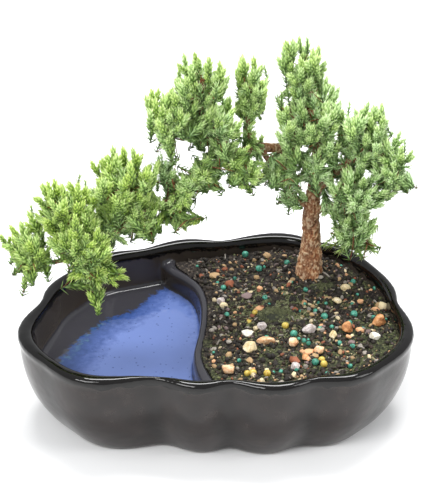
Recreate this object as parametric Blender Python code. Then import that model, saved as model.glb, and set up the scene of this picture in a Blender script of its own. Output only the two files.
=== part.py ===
"""A juniper bonsai in a scalloped land-and-water pot.

The black glazed pot is one piece of slip-cast stoneware.  An S-shaped divider parts its inside into a
shallow pond on the left and a deep, drained soil well on the right.  The juniper stands in the soil near the
back, sends one long limb out to the left over the pond, and carries its foliage in clumps of short shoots.

Metres, +Z up.  The origin is the middle of the pot's flat underside.
"""
import math

import bmesh
import bpy
from mathutils import Matrix, Vector, noise

MM = 0.001

# ---------------------------------------------------------------- driving sizes
POT_WIDTH = 0.247            # along X, over the scallops
POT_DEPTH = 0.190            # along Y, over the scallops
POT_HEIGHT = 0.062
WALL = 0.007                 # clay thickness of wall, floor and divider foot
BASE_INSET = 0.018           # how far the wall curves in from rim to foot
WALL_CURVE = 2.6             # a bigger power keeps the wall upright for longer
LIP_HEIGHT = 0.006           # the rolled lip
FOOT_EASE = 0.0015           # how far the foot's edge is rounded off
POND_BELOW_RIM = 0.027       # depth of the pond's floor
DIVIDER_BELOW_RIM = 0.012    # depth of the divider's crest
DIVIDER_THICKNESS = 0.0065
DIVIDER_FLARE = 0.8          # share by which the divider thickens where it meets the walls
DRAIN_RADIUS = 0.006

SOIL_BELOW_RIM = 0.0105      # at the wall
SOIL_MOUND = 0.001           # extra height round the trunk
MESH_SIZE = 0.024            # drain screens
MESH_THICKNESS = 0.001
MESH_CELLS = 7               # bars and gaps across a screen, an odd number

TREE_SCALE = 1.0             # of the whole skeleton and crown
LIMB_THICKNESS = 1.0         # of every trunk and limb radius
PEBBLE_SCALE = 1.0
PRILL_RADIUS = 0.0023        # slow-release fertiliser beads

GAP = 0.0003                 # between pieces that touch
REST_GAP = 0.0005            # under the stones, which stand on a faceted soil top

# ---------------------------------------------------------------- the pot's plan
# Each scallop of the rim runs from one crease to the next and bulges to its peak.  Both are shares of half
# the width and half the depth, anticlockwise from the left end of the pot.
#            crease            peak
SCALLOPS = [((-0.89, 0.04), (-1.00, -0.34)),
            ((-0.82, -0.70), (-0.60, -0.93)),
            ((-0.29, -0.83), (-0.09, -0.98)),
            ((0.07, -0.88), (0.29, -1.00)),
            ((0.48, -0.87), (0.68, -0.88)),
            ((0.84, -0.70), (1.01, -0.36)),
            ((0.94, 0.04), (0.95, 0.26)),
            ((0.85, 0.55), (0.72, 0.80)),
            ((0.57, 0.86), (0.35, 1.02)),
            ((0.04, 0.86), (-0.18, 0.92)),
            ((-0.39, 0.75), (-0.62, 0.70)),
            ((-0.76, 0.47), (-0.88, 0.26))]
# The lip's section: outside, how far in it is and how deep below the rim as a share of its height; inside,
# how much narrower than the wall it is and how high above the rim.
LIP_OUTSIDE = ((0.0, 0.85), (0.0, 0.35), (0.0012, 0.08), (0.003, 0.0))
LIP_INSIDE = ((0.0008, -0.002), (0.0026, 0.0004), (0.0026, 0.004))
LIP_UNDERCUT = 0.0008        # how far the wall steps in under the lip

SCALLOP_STEPS = 6
SCALLOP_POWER = 0.75         # under 1 makes a scallop fuller towards its creases
INSET_STEPS = 6              # steps in which the clay's thickness is laid inside the outline
CREASE_EASE = 0.3            # how much each of those steps softens the creases

# The divider's middle line from the back wall to the front wall, in the same shares.
DIVIDER_LINE = [(-0.27, 0.92), (-0.24, 0.72), (-0.16, 0.59), (-0.09, 0.45), (-0.055, 0.26),
                (-0.05, 0.06), (-0.06, -0.15), (-0.08, -0.37), (-0.07, -0.54), (-0.03, -0.72), (0.02, -0.94)]
DIVIDER_STEPS = 3

DRAIN_PLACES = [(0.28, 0.34), (0.58, -0.32)]
TRUNK_PLACE = (0.51, 0.57)

# ---------------------------------------------------------------- the tree, in mm from the trunk's foot
# A limb is a run of (x, y, z, radius).  Each limb starts inside the one that it grows from.
LIMBS = {
    "trunk": [(0, 0, -15, 5.5), (0, 0, -7, 9.4), (0, 0, 0, 9.0), (0.3, -0.4, 6, 8.3), (0.9, -1.1, 16, 7.2),
              (1, -2, 32, 5.9), (0.4, -3, 46, 5.3), (0.6, -4, 58, 4.8), (2, -5, 70, 4.2), (4, -6, 82, 3.8),
              (3, -7, 98, 3.2), (0, -8, 114, 2.6), (-4, -8, 132, 2.0), (-6, -8, 150, 1.4)],
    "long_limb": [(4, -6, 80, 3.0), (-8, -8, 91, 3.1), (-20, -12, 100, 3.0), (-34, -18, 104, 2.8),
                  (-49, -27, 104, 2.6), (-64, -38, 99, 2.4), (-78, -47, 91, 2.3), (-93, -55, 84, 2.2),
                  (-111, -63, 78, 2.1), (-125, -70, 71, 2.0), (-138, -75, 64, 1.8), (-149, -79, 59, 1.6),
                  (-161, -82, 57, 1.3), (-172, -82, 61, 1.0)],
    "under_limb": [(-34, -18, 104, 1.8), (-30, -21, 98, 1.6), (-24, -23, 92, 1.2)],
    "tall_limb": [(-38, -20, 104, 1.8), (-42, -19, 116, 1.7), (-42, -18, 130, 1.4), (-41, -18, 146, 1.1)],
    "pad_limb": [(-52, -29, 103, 2.0), (-62, -33, 113, 1.9), (-70, -36, 126, 1.7), (-71, -37, 142, 1.4),
                 (-69, -37, 155, 1.1)],
    "pad_side_limb": [(-70, -36, 125, 1.5), (-80, -41, 132, 1.3), (-88, -45, 138, 1.0)],
    "tuft_limb": [(-80, -48, 90, 1.3), (-84, -54, 81, 1.1), (-86, -56, 73, 0.9)],
    "cascade_limb": [(-111, -63, 78, 1.6), (-115, -64, 88, 1.5), (-119, -64, 99, 1.2)],
    "hanging_limb": [(-132, -73, 67, 1.4), (-135, -80, 60, 1.3), (-136, -85, 53, 1.0)],
    "right_limb": [(1, -4.5, 64, 2.6), (13, -6, 78, 2.5), (24, -9, 90, 2.2), (37, -13, 97, 1.8),
                   (48, -16, 98, 1.2)],
    "right_low_limb": [(0.6, -3, 48, 2.3), (10, -8, 57, 2.2), (20, -12, 58, 1.9), (26, -13, 50, 1.5),
                       (27, -13, 42, 1.1)],
    "back_limb": [(2, -5, 72, 2.2), (3, 7, 84, 2.1), (2, 16, 98, 1.8), (1, 19, 112, 1.2)],
    "back_right_limb": [(2, 3, 80, 1.7), (14, 9, 88, 1.7), (26, 12, 94, 1.5), (34, 13, 97, 1.1)],
    "stub": [(0.5, -3.5, 52, 1.6), (-5, -5, 56, 1.4), (-10, -7, 61, 1.0), (-13, -9, 65, 0.8)],
}
LIMB_SIDES = 8

# A clump of foliage: middle (x, y, z) and half sizes, in mm from the trunk's foot.
CLUMPS = {
    "apex": ((-8, -7, 153), (14, 16, 19)),
    "crown": ((4, -12, 120), (20, 20, 18)),
    "crown_left": ((-15, -15, 126), (12, 15, 18)),
    "crown_low": ((-1, -20, 90), (13, 12, 14)),
    "crown_back": ((0, 19, 118), (20, 15, 21)),
    "right_upper": ((29, -12, 115), (19, 20, 17)),
    "right_outer": ((51, -16, 93), (15, 18, 19)),
    "right_lower": ((29, -22, 76), (22, 19, 15)),
    "right_back": ((36, 13, 97), (18, 15, 17)),
    "right_hanging": ((27, -13, 46), (21, 17, 17)),
    "right_skirt": ((29, -10, 24), (20, 12, 7)),
    "tall_spray": ((-40, -18, 146), (10, 11, 22)),
    "pad_top": ((-71, -36, 162), (17, 17, 14)),
    "pad_left": ((-90, -45, 139), (16, 16, 17)),
    "pad_right": ((-59, -33, 131), (13, 16, 17)),
    "pad_back": ((-72, -18, 136), (18, 13, 18)),
    "under_crown": ((-21, -24, 91), (14, 14, 12)),
    "trunk_spray": ((-14, -11, 66), (8, 8, 10)),
    "under_limb_spray": ((-45, -40, 99), (14, 13, 15)),
    "link_spray": ((-95, -49, 110), (11, 12, 14)),
    "limb_spray": ((-72, -45, 100), (13, 13, 12)),
    "tuft": ((-86, -57, 69), (9, 9, 10)),
    "cascade_top": ((-118, -64, 105), (21, 18, 19)),
    "cascade_left": ((-154, -74, 93), (21, 18, 18)),
    "cascade_tip": ((-177, -80, 72), (15, 14, 12)),
    "cascade_middle": ((-142, -90, 76), (20, 12, 13)),
    "cascade_back": ((-128, -46, 84), (20, 12, 14)),
    "cascade_right": ((-105, -60, 81), (13, 14, 15)),
    "cascade_hanging": ((-135, -86, 50), (21, 14, 13)),
}
CLUMP_SPLITS = 2
CLUMP_LUMPS = 0.10           # share by which the surface swells and dips
CLUMP_REACH = 1.4            # pairs closer than this many radii are parted by a plane

# ---------------------------------------------------------------- what lies on the soil
# A stone: name, place as shares of half the pot, half sizes in mm, turn in degrees, material.
STONES = [("cream_large", (0.18, -0.42), (5.6, 4.2, 3.4), 20, "cream_stone"),
          ("peach_long", (0.265, -0.33), (6.2, 3.4, 2.6), 8, "peach_stone"),
          ("white_flat", (0.17, -0.235), (4.6, 3.4, 2.2), -12, "white_stone"),
          ("pink_grey", (0.245, -0.16), (3.6, 3.4, 2.8), 40, "grey_stone"),
          ("grey_large", (0.48, -0.21), (5.0, 4.2, 3.4), 25, "grey_stone"),
          ("peach_round", (0.40, -0.36), (3.9, 3.5, 2.8), -30, "peach_stone"),
          ("amber_upright", (0.68, -0.20), (3.4, 5.2, 4.0), 15, "amber_stone"),
          ("cream_chip", (0.605, -0.26), (2.8, 3.6, 2.4), 10, "cream_stone"),
          ("white_round", (0.815, -0.29), (3.6, 3.4, 2.8), 0, "white_stone"),
          ("brown_rough", (0.85, -0.10), (5.2, 4.6, 3.8), 35, "amber_stone"),
          ("tan_front", (0.07, -0.66), (5.0, 3.6, 3.0), -8, "peach_stone"),
          ("peach_front", (0.525, -0.45), (4.0, 3.6, 2.8), 15, "peach_stone"),
          ("rust_front", (0.455, -0.53), (3.0, 2.6, 2.2), 50, "amber_stone"),
          ("lilac_front", (0.40, -0.64), (3.4, 3.0, 2.4), 0, "grey_stone"),
          ("cream_mid", (0.645, 0.17), (3.6, 2.4, 2.2), 12, "cream_stone"),
          ("cream_back", (0.70, 0.33), (3.6, 3.4, 2.6), -20, "cream_stone"),
          ("grey_divider", (0.035, 0.19), (2.6, 4.0, 2.4), 8, "grey_stone")]
STONE_LUMPS = 0.16

# A bead: place as shares of half the pot, material.
PRILLS = [((0.17, 0.82), "teal_bead"), ((0.57, -0.03), "teal_bead"), ((0.725, 0.0), "teal_bead"),
          ((0.405, -0.245), "teal_bead"), ((0.50, -0.585), "teal_bead"), ((0.19, -0.70), "yellow_bead"),
          ((0.26, -0.71), "yellow_bead")]

# A cushion of moss: place as shares of half the pot, half sizes in mm, crown height in mm, turn in degrees.
MOSS = [("front", (0.30, 0.02), (13, 8), 2.0, -20), ("trunk", (0.57, 0.36), (9, 5), 1.8, 10)]
MOSS_SIDES = 16
MOSS_EDGE = 0.0008           # thickness at the rim of a cushion

# ---------------------------------------------------------------- materials: colour, roughness, metallic
MATERIALS = {
    "black_glaze": ((0.018, 0.016, 0.016), 0.18, 0.0),
    "potting_soil": ((0.020, 0.015, 0.011), 0.95, 0.0),
    "screen_plastic": ((0.010, 0.010, 0.010), 0.55, 0.0),
    "juniper_bark": ((0.220, 0.085, 0.050), 0.85, 0.0),
    "juniper_foliage": ((0.130, 0.300, 0.045), 0.60, 0.0),
    "moss": ((0.035, 0.060, 0.015), 0.95, 0.0),
    "cream_stone": ((0.780, 0.660, 0.430), 0.60, 0.0),
    "peach_stone": ((0.720, 0.400, 0.190), 0.60, 0.0),
    "white_stone": ((0.760, 0.730, 0.650), 0.60, 0.0),
    "grey_stone": ((0.400, 0.340, 0.310), 0.60, 0.0),
    "amber_stone": ((0.520, 0.230, 0.070), 0.60, 0.0),
    "teal_bead": ((0.070, 0.330, 0.260), 0.40, 0.0),
    "yellow_bead": ((0.700, 0.450, 0.060), 0.40, 0.0),
}


def clear_scene():
    for item in list(bpy.data.objects):
        bpy.data.objects.remove(item, do_unlink=True)


def material(name):
    """The Principled material of one finish, made once."""
    found = bpy.data.materials.get(name)
    if found:
        return found
    colour, roughness, metallic = MATERIALS[name]
    made = bpy.data.materials.new(name)
    made.use_nodes = True
    shader = made.node_tree.nodes["Principled BSDF"]
    shader.inputs["Base Color"].default_value = (*colour, 1.0)
    shader.inputs["Roughness"].default_value = roughness
    shader.inputs["Metallic"].default_value = metallic
    made.diffuse_color = (*colour, 1.0)
    return made


def object_from(bm, name, finish=None):
    """A new object from a closed bmesh, faces pointing out; without a finish it is only a cutter."""
    bmesh.ops.recalc_face_normals(bm, faces=bm.faces)
    mesh = bpy.data.meshes.new(name)
    bm.to_mesh(mesh)
    bm.free()
    made = bpy.data.objects.new(name, mesh)
    bpy.context.collection.objects.link(made)
    if finish:
        mesh.materials.append(material(finish))
    else:
        made.hide_render = True
        made.display_type = "WIRE"
    return made


def boolean(target, cutter, operation="DIFFERENCE"):
    """Applies one exact Boolean to the target and removes the cutter."""
    step = target.modifiers.new(operation.lower(), "BOOLEAN")
    step.operation = operation
    step.solver = "EXACT"
    step.object = cutter
    graph = bpy.context.evaluated_depsgraph_get()
    result = bpy.data.meshes.new_from_object(target.evaluated_get(graph))
    target.modifiers.clear()
    target.data = result
    bpy.data.objects.remove(cutter, do_unlink=True)
    return target


def loft(rings):
    """A closed bmesh through rings of equally many points, each end capped."""
    bm = bmesh.new()
    loops = [[bm.verts.new(point) for point in ring] for ring in rings]
    for low, high in zip(loops, loops[1:]):
        for i in range(len(low)):
            j = (i + 1) % len(low)
            bm.faces.new((low[i], low[j], high[j], high[i]))
    bm.faces.new(loops[0])
    bm.faces.new(loops[-1])
    return bm


def prism(outline, low, high):
    """An upright prism over a plan outline."""
    return loft([[(x, y, z) for x, y in outline] for z in (low, high)])


# ---------------------------------------------------------------- the pot's outline and profiles
FLOOR = WALL + 0.001         # height of the soil well's floor
POND_FLOOR = POT_HEIGHT - POND_BELOW_RIM
DIVIDER_TOP = POT_HEIGHT - DIVIDER_BELOW_RIM


def plan(share):
    """A place given as shares of half the pot, in metres."""
    return Vector((share[0] * POT_WIDTH / 2, share[1] * POT_DEPTH / 2))


def rim_outline():
    """The rim seen from above: scallops between creases, with the creases eased."""
    points = []
    for i, (crease, peak) in enumerate(SCALLOPS):
        start, top = plan(crease), plan(peak)
        end = plan(SCALLOPS[(i + 1) % len(SCALLOPS)][0])
        bulge = top - (start + end) / 2
        for step in range(SCALLOP_STEPS):
            t = step / SCALLOP_STEPS
            points.append(start.lerp(end, t) + bulge * math.sin(math.pi * t) ** SCALLOP_POWER)
    count = len(points)
    return [(points[i - 1] + 4 * points[i] + points[(i + 1) % count]) / 6 for i in range(count)]


RIM = rim_outline()


def ring(inset, height, clay=0.0):
    """The rim's outline drawn in by an inset with its scallops kept, then moved in by a thickness of clay."""
    shrink = Vector((1 - inset / (POT_WIDTH / 2), 1 - inset / (POT_DEPTH / 2)))
    points, count = [point * shrink for point in RIM], len(RIM)
    for _ in range(INSET_STEPS if clay else 0):
        moved = []
        for i in range(count):
            before, after = points[i - 1], points[(i + 1) % count]
            ahead = after - before
            step = Vector((-ahead.y, ahead.x)).normalized() * clay / INSET_STEPS
            moved.append(points[i].lerp((before + after) / 2, CREASE_EASE) + step)
        points = moved
    return [(point.x, point.y, height) for point in points]


def outer_inset(height):
    """How far the outer wall stands in from the rim at a height."""
    return BASE_INSET * max(0.0, 1 - height / POT_HEIGHT) ** WALL_CURVE


def outer_body():
    under_lip = POT_HEIGHT - LIP_HEIGHT
    rings = [ring(outer_inset(0) + FOOT_EASE, 0.0)]
    for share in (0.02, 0.10, 0.22, 0.40, 0.62, 0.84, 1.0):
        height = under_lip * share
        rings.append(ring(outer_inset(height) + LIP_UNDERCUT * share, height))
    for inset, drop in LIP_OUTSIDE:
        rings.append(ring(inset, POT_HEIGHT - LIP_HEIGHT * drop))
    return object_from(loft(rings), "pot", "black_glaze")


def cavity_rings(floor, extra=0.0):
    """The inside of the pot up to just under its lip; extra makes it smaller all round."""
    fillet = 0.004
    rings = [ring(outer_inset(floor), floor, WALL + fillet + extra),
             ring(outer_inset(floor + fillet), floor + fillet, WALL + extra)]
    for share in (0.25, 0.5, 0.75, 1.0):
        height = floor + fillet + (POT_HEIGHT - LIP_HEIGHT - floor - fillet) * share
        rings.append(ring(outer_inset(height), height, WALL + extra))
    return rings


def divider_side(side, extra=0.0):
    """The divider's face on the soil's side (1) or the pond's side (-1), or its middle line (0)."""
    knots = [plan(share) for share in DIVIDER_LINE]
    line = []
    for i in range(len(knots) - 1):
        before, after = knots[max(i - 1, 0)], knots[min(i + 2, len(knots) - 1)]
        for step in range(DIVIDER_STEPS):
            t = step / DIVIDER_STEPS
            bend = (after - knots[i]) * (t ** 3 - t ** 2) + \
                (knots[i + 1] - before) * (t ** 3 - 2 * t ** 2 + t)
            line.append(knots[i].lerp(knots[i + 1], t * t * (3 - 2 * t)) + bend / 2)
    line.append(knots[-1])
    moved = []
    for i, point in enumerate(line):
        ahead = line[min(i + 1, len(line) - 1)] - line[max(i - 1, 0)]
        to_soil = Vector((-ahead.y, ahead.x)).normalized()
        end = abs(2 * i / (len(line) - 1) - 1)
        half = DIVIDER_THICKNESS / 2 * (1 + DIVIDER_FLARE * end ** 4)
        moved.append(point + to_soil * side * (half + extra))
    return moved


def beside(line, side):
    """A plan outline of everything on one side (-1 is the pond's) of a line down the pot."""
    far = side * POT_WIDTH
    return [(point.x, point.y) for point in line] + [(far, -POT_DEPTH), (far, POT_DEPTH)]


def divider_strip():
    """The upright band that the divider is, with its crest narrowed."""
    crest = 0.0018
    wide = divider_side(1) + divider_side(-1)[::-1]
    narrow = divider_side(1, -crest) + divider_side(-1, -crest)[::-1]
    levels = ((wide, -0.01), (wide, DIVIDER_TOP - crest), (narrow, DIVIDER_TOP))
    return loft([[(point.x, point.y, z) for point in outline] for outline, z in levels])


def make_pot():
    pot = outer_body()
    rings = cavity_rings(FLOOR)
    for narrower, above in LIP_INSIDE:
        rings.append(ring(0.0, POT_HEIGHT + above, WALL - narrower))
    cavity = object_from(loft(rings), "cavity")
    shelf = object_from(prism(beside(divider_side(0), -1), -0.01, POND_FLOOR), "pond_shelf")
    boolean(cavity, shelf)
    boolean(cavity, object_from(divider_strip(), "divider_strip"))
    boolean(pot, cavity)
    draft = 0.002
    recess = object_from(loft([ring(BASE_INSET, POND_FLOOR * share - WALL, WALL + draft * share)
                               for share in (0.0, 0.2, 1.0)]), "under_recess")
    boolean(recess, object_from(prism(beside(divider_side(-1, 0.001), 1), -0.02, POND_FLOOR), "recess_side"))
    boolean(pot, recess)
    for share in DRAIN_PLACES:
        centre = plan(share)
        bm = bmesh.new()
        bmesh.ops.create_cone(bm, cap_ends=True, segments=16, radius1=DRAIN_RADIUS, radius2=DRAIN_RADIUS,
                              depth=4 * WALL, matrix=Matrix.Translation((centre.x, centre.y, WALL)))
        boolean(pot, object_from(bm, "drain_cutter"))
    return pot


# ---------------------------------------------------------------- soil, screens, moss
FOOT = plan(TRUNK_PLACE)
SOIL_LEVEL = POT_HEIGHT - SOIL_BELOW_RIM


def soil_height(x, y):
    """The soil's top: level at the walls, lower along the divider and heaped round the trunk."""
    reach = 0.024
    near_trunk = math.exp(-((x - FOOT.x) ** 2 + (y - FOOT.y) ** 2) / (2 * reach ** 2))
    near_divider = math.exp(-max(0.0, x + 0.01) / 0.02)
    return SOIL_LEVEL + SOIL_MOUND * near_trunk - 0.003 * near_divider


def make_soil():
    rings = cavity_rings(FLOOR + 2 * GAP + MESH_THICKNESS, GAP)[:-1]
    edge = ring(outer_inset(SOIL_LEVEL), SOIL_LEVEL, WALL + GAP)
    middle = Vector((FOOT.x * 0.75, FOOT.y * 0.3))
    for share in (0.0, 0.18, 0.38, 0.60, 0.82):
        flat = [Vector(point[:2]).lerp(middle, share) for point in edge]
        rings.append([(point.x, point.y, soil_height(point.x, point.y)) for point in flat])
    soil = object_from(loft(rings), "soil", "potting_soil")
    boolean(soil, object_from(prism(beside(divider_side(1, GAP), -1), -0.01, 2 * POT_HEIGHT), "soil_side"))
    return boolean(soil, object_from(tube(LIMBS["trunk"][:5], GAP), "root_socket"))


def make_screen(name, share):
    """A drain screen: a square plate with a grid of square holes."""
    centre = plan(share)
    bm = bmesh.new()
    bmesh.ops.create_grid(bm, x_segments=MESH_CELLS, y_segments=MESH_CELLS, size=MESH_SIZE / 2)
    pitch = MESH_SIZE / MESH_CELLS
    holes = []
    for face in bm.faces:
        place = face.calc_center_median()
        column = round((place.x + MESH_SIZE / 2) / pitch - 0.5)
        row = round((place.y + MESH_SIZE / 2) / pitch - 0.5)
        if column % 2 and row % 2:
            holes.append(face)
    bmesh.ops.delete(bm, geom=holes, context="FACES_ONLY")
    top = bmesh.ops.extrude_face_region(bm, geom=bm.faces[:])["geom"]
    lifted = [item for item in top if isinstance(item, bmesh.types.BMVert)]
    bmesh.ops.translate(bm, verts=lifted, vec=(0, 0, MESH_THICKNESS))
    bmesh.ops.translate(bm, verts=bm.verts, vec=(centre.x, centre.y, FLOOR + GAP))
    return object_from(bm, name, "screen_plastic")


def make_moss(name, share, half, crown, turn):
    """A low cushion whose underside follows the soil."""
    centre, spin = plan(share), math.radians(turn)
    rings = []
    for side, scales in ((0, (0.35, 0.7, 1.0)), (1, (1.0, 0.75, 0.4))):
        for scale in scales:
            points = []
            for i in range(MOSS_SIDES):
                angle = 2 * math.pi * i / MOSS_SIDES
                wave = 1 + 0.14 * math.sin(3 * angle + crown) + 0.08 * math.sin(5 * angle)
                x = half[0] * MM * scale * wave * math.cos(angle)
                y = half[1] * MM * scale * wave * math.sin(angle)
                px = centre.x + x * math.cos(spin) - y * math.sin(spin)
                py = centre.y + x * math.sin(spin) + y * math.cos(spin)
                rise = MOSS_EDGE + crown * MM * (1 - scale ** 2) if side else 0.0
                points.append((px, py, soil_height(px, py) + REST_GAP + rise))
            rings.append(points)
    return object_from(loft(rings), name, "moss")


# ---------------------------------------------------------------- stones and beads
def lumpy(bm, seed, amount, wavelength=1.0):
    """Swells and dips a unit ball's surface by smooth seeded noise."""
    for vert in bm.verts:
        sample = vert.co / wavelength + Vector((seed * 3.7, seed * 1.9, seed * 5.3))
        vert.co *= 1 + amount * noise.noise(sample)


def standing_height(centre, radius):
    """The highest soil under a round footprint."""
    spots = [(0, 0), (radius, 0), (-radius, 0), (0, radius), (0, -radius)]
    return max(soil_height(centre.x + dx, centre.y + dy) for dx, dy in spots)


def make_stone(seed, name, share, half, turn, finish):
    centre = plan(share)
    half = Vector(half) * MM * PEBBLE_SCALE
    bm = bmesh.new()
    bmesh.ops.create_icosphere(bm, subdivisions=2, radius=1.0)
    lumpy(bm, seed, STONE_LUMPS, 0.9)
    bmesh.ops.scale(bm, vec=half, verts=bm.verts)
    bmesh.ops.rotate(bm, matrix=Matrix.Rotation(math.radians(turn), 3, "Z"), verts=bm.verts)
    lowest = min(vert.co.z for vert in bm.verts)
    stand = standing_height(centre, max(half.x, half.y)) + REST_GAP - lowest
    bmesh.ops.translate(bm, verts=bm.verts, vec=(centre.x, centre.y, stand))
    return object_from(bm, "stone_" + name, finish)


def make_prill(index, share, finish):
    centre = plan(share)
    stand = standing_height(centre, PRILL_RADIUS) + REST_GAP + PRILL_RADIUS
    bm = bmesh.new()
    bmesh.ops.create_icosphere(bm, subdivisions=1, radius=PRILL_RADIUS)
    bmesh.ops.translate(bm, verts=bm.verts, vec=(centre.x, centre.y, stand))
    return object_from(bm, f"fertiliser_bead_{index}", finish)


# ---------------------------------------------------------------- the tree
def tree_point(x, y, z):
    """A point given in mm from the trunk's foot, in metres."""
    foot = Vector((FOOT.x, FOOT.y, SOIL_LEVEL))
    return foot + Vector((x, y, z)) * MM * TREE_SCALE


def tube(run, grow=0.0):
    """A closed round limb along a run of (x, y, z, radius); grow thickens and lengthens it."""
    points = [tree_point(*knot[:3]) for knot in run]
    radii = [knot[3] * MM * LIMB_THICKNESS * TREE_SCALE + grow for knot in run]
    if grow:
        points[-1] = points[-1] + (points[-1] - points[-2]).normalized() * grow
        points[0] = points[0] - (points[1] - points[0]).normalized() * grow
    rings = []
    side = Vector((0, 1, 0))
    for i, point in enumerate(points):
        ahead = (points[min(i + 1, len(points) - 1)] - points[max(i - 1, 0)]).normalized()
        side = (side - ahead * side.dot(ahead)).normalized()
        cross = ahead.cross(side)
        turns = [2 * math.pi * k / LIMB_SIDES for k in range(LIMB_SIDES)]
        rings.append([point + (side * math.cos(a) + cross * math.sin(a)) * radii[i] for a in turns])
    return loft(rings)


def skeleton(name, grow=0.0, finish=None):
    """Trunk and limbs, grown together as one piece of wood."""
    wood = object_from(tube(LIMBS["trunk"], grow), name, finish)
    for limb, run in LIMBS.items():
        if limb != "trunk":
            boolean(wood, object_from(tube(run, grow), limb + "_tube"), "UNION")
    return wood


def radius_towards(half, direction):
    """The distance from an ellipsoid's middle to its surface along a unit direction."""
    return 1 / math.sqrt(sum((direction[k] / half[k]) ** 2 for k in range(3)))


def make_clump(name, seed):
    """One clump as a lumpy ball, parted from each neighbour by a plane between them."""
    middle = tree_point(*CLUMPS[name][0])
    half = Vector(CLUMPS[name][1]) * MM * TREE_SCALE
    bm = bmesh.new()
    bmesh.ops.create_icosphere(bm, subdivisions=CLUMP_SPLITS, radius=1.0)
    lumpy(bm, seed, CLUMP_LUMPS)
    bmesh.ops.scale(bm, vec=half, verts=bm.verts)
    bmesh.ops.translate(bm, verts=bm.verts, vec=middle)
    for other, (place, size) in CLUMPS.items():
        away = tree_point(*place) - middle
        if other == name:
            continue
        direction = away.normalized()
        mine = radius_towards(half, direction)
        theirs = radius_towards(Vector(size) * MM * TREE_SCALE, direction)
        if away.length > CLUMP_REACH * (mine + theirs):
            continue
        cut = middle + direction * (away.length * mine / (mine + theirs) - GAP)
        bmesh.ops.bisect_plane(bm, geom=bm.verts[:] + bm.edges[:] + bm.faces[:], dist=1e-6,
                               plane_co=cut, plane_no=direction, clear_outer=True)
        rim = [edge for edge in bm.edges if edge.is_boundary]
        if rim:
            bmesh.ops.holes_fill(bm, edges=rim, sides=0)
    return object_from(bm, "foliage_" + name, "juniper_foliage")


def main():
    clear_scene()
    make_pot()
    make_soil()
    for name, share in zip(("screen_back", "screen_front"), DRAIN_PLACES):
        make_screen("drain_" + name, share)
    for name, share, half, crown, turn in MOSS:
        make_moss("moss_" + name, share, half, crown, turn)
    for seed, stone in enumerate(STONES):
        make_stone(seed, *stone)
    for index, (share, finish) in enumerate(PRILLS, start=1):
        make_prill(index, share, finish)
    skeleton("trunk", finish="juniper_bark")
    for seed, name in enumerate(CLUMPS):
        clump = make_clump(name, seed)
        boolean(clump, skeleton("limb_socket", GAP))
    print("objects:", len([item for item in bpy.data.objects if not item.hide_render]))


main()
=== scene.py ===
# %% [markdown]
# # A juniper bonsai in a land-and-water pot
# The object is a small juniper with one long limb that reaches over a pond.  It stands in a scalloped, black
# glazed pot whose inside is parted by an S-shaped divider: a shallow pond with a pool of blue glaze on the left,
# and a deep well of dark soil, gravel, moss and fertiliser beads on the right.
#
# The CAD model gives every place and size.  This lesson makes the finished look around it, piece by piece.

# %% Load the frame and keep its box
import math
import random

import bmesh
import bpy
import numpy as np
from mathutils import Matrix, Vector, kdtree, noise


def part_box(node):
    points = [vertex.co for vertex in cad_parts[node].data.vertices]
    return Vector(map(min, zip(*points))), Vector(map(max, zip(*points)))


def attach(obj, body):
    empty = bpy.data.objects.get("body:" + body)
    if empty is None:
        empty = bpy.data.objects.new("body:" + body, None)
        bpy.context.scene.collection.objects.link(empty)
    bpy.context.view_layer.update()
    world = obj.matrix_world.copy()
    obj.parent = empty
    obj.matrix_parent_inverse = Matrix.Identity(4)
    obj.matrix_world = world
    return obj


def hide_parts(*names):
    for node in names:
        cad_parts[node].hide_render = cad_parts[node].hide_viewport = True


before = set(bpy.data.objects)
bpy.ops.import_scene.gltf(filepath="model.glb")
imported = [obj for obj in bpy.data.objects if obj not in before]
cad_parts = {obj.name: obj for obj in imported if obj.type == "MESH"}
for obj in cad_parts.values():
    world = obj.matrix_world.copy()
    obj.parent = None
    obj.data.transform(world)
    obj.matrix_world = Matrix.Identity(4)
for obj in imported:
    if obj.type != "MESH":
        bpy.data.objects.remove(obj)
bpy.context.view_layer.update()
MM = 0.001

# %% [markdown]
# ## Small helpers
# Colours are written as sRGB hex values, as a designer picks them, and Blender wants them linear, so one function
# converts them.  Node trees are built in code, so one function adds a node, sets it and links it.  A finished
# piece always gets a name, a finish, the body that it rides on, and the CAD node that it stands for.


# %% Colour and node helpers
def linear(code):
    """An sRGB hex colour as linear RGBA."""
    parts = [int(code[i:i + 2], 16) / 255 for i in (1, 3, 5)]
    return (*[part / 12.92 if part <= 0.04045 else ((part + 0.055) / 1.055) ** 2.4 for part in parts], 1.0)


def add_node(tree, kind, inputs=None, stops=None, **settings):
    """One node with its settings.  Inputs are values, hex colours or other nodes' outputs; stops fill a ramp."""
    made = tree.nodes.new(kind)
    for key, value in settings.items():
        setattr(made, key, value)
    for socket, value in (inputs or {}).items():
        if isinstance(value, bpy.types.NodeSocket):
            tree.links.new(value, made.inputs[socket])
        else:
            made.inputs[socket].default_value = linear(value) if isinstance(value, str) else value
    if stops:
        elements = made.color_ramp.elements
        for element, (place, code) in ((elements[0], stops[0]), (elements[1], stops[-1])):
            element.position, element.color = place, linear(code)
        for place, code in stops[1:-1]:
            elements.new(place).color = linear(code)
    return made


def new_finish(name, **constants):
    """A material with its Principled shader's constant sockets set; returns material, node tree and shader."""
    finish = bpy.data.materials.new(name)
    finish.use_nodes = True
    shader = finish.node_tree.nodes["Principled BSDF"]
    for socket, value in constants.items():
        shader.inputs[socket.replace("_", " ")].default_value = value
    return finish, finish.node_tree, shader


# %% Object helpers
def deselect():
    """Nothing selected and nothing in edit mode."""
    if bpy.context.object and bpy.context.object.mode != "OBJECT":
        bpy.ops.object.mode_set(mode="OBJECT")
    bpy.ops.object.select_all(action="DESELECT")


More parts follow.
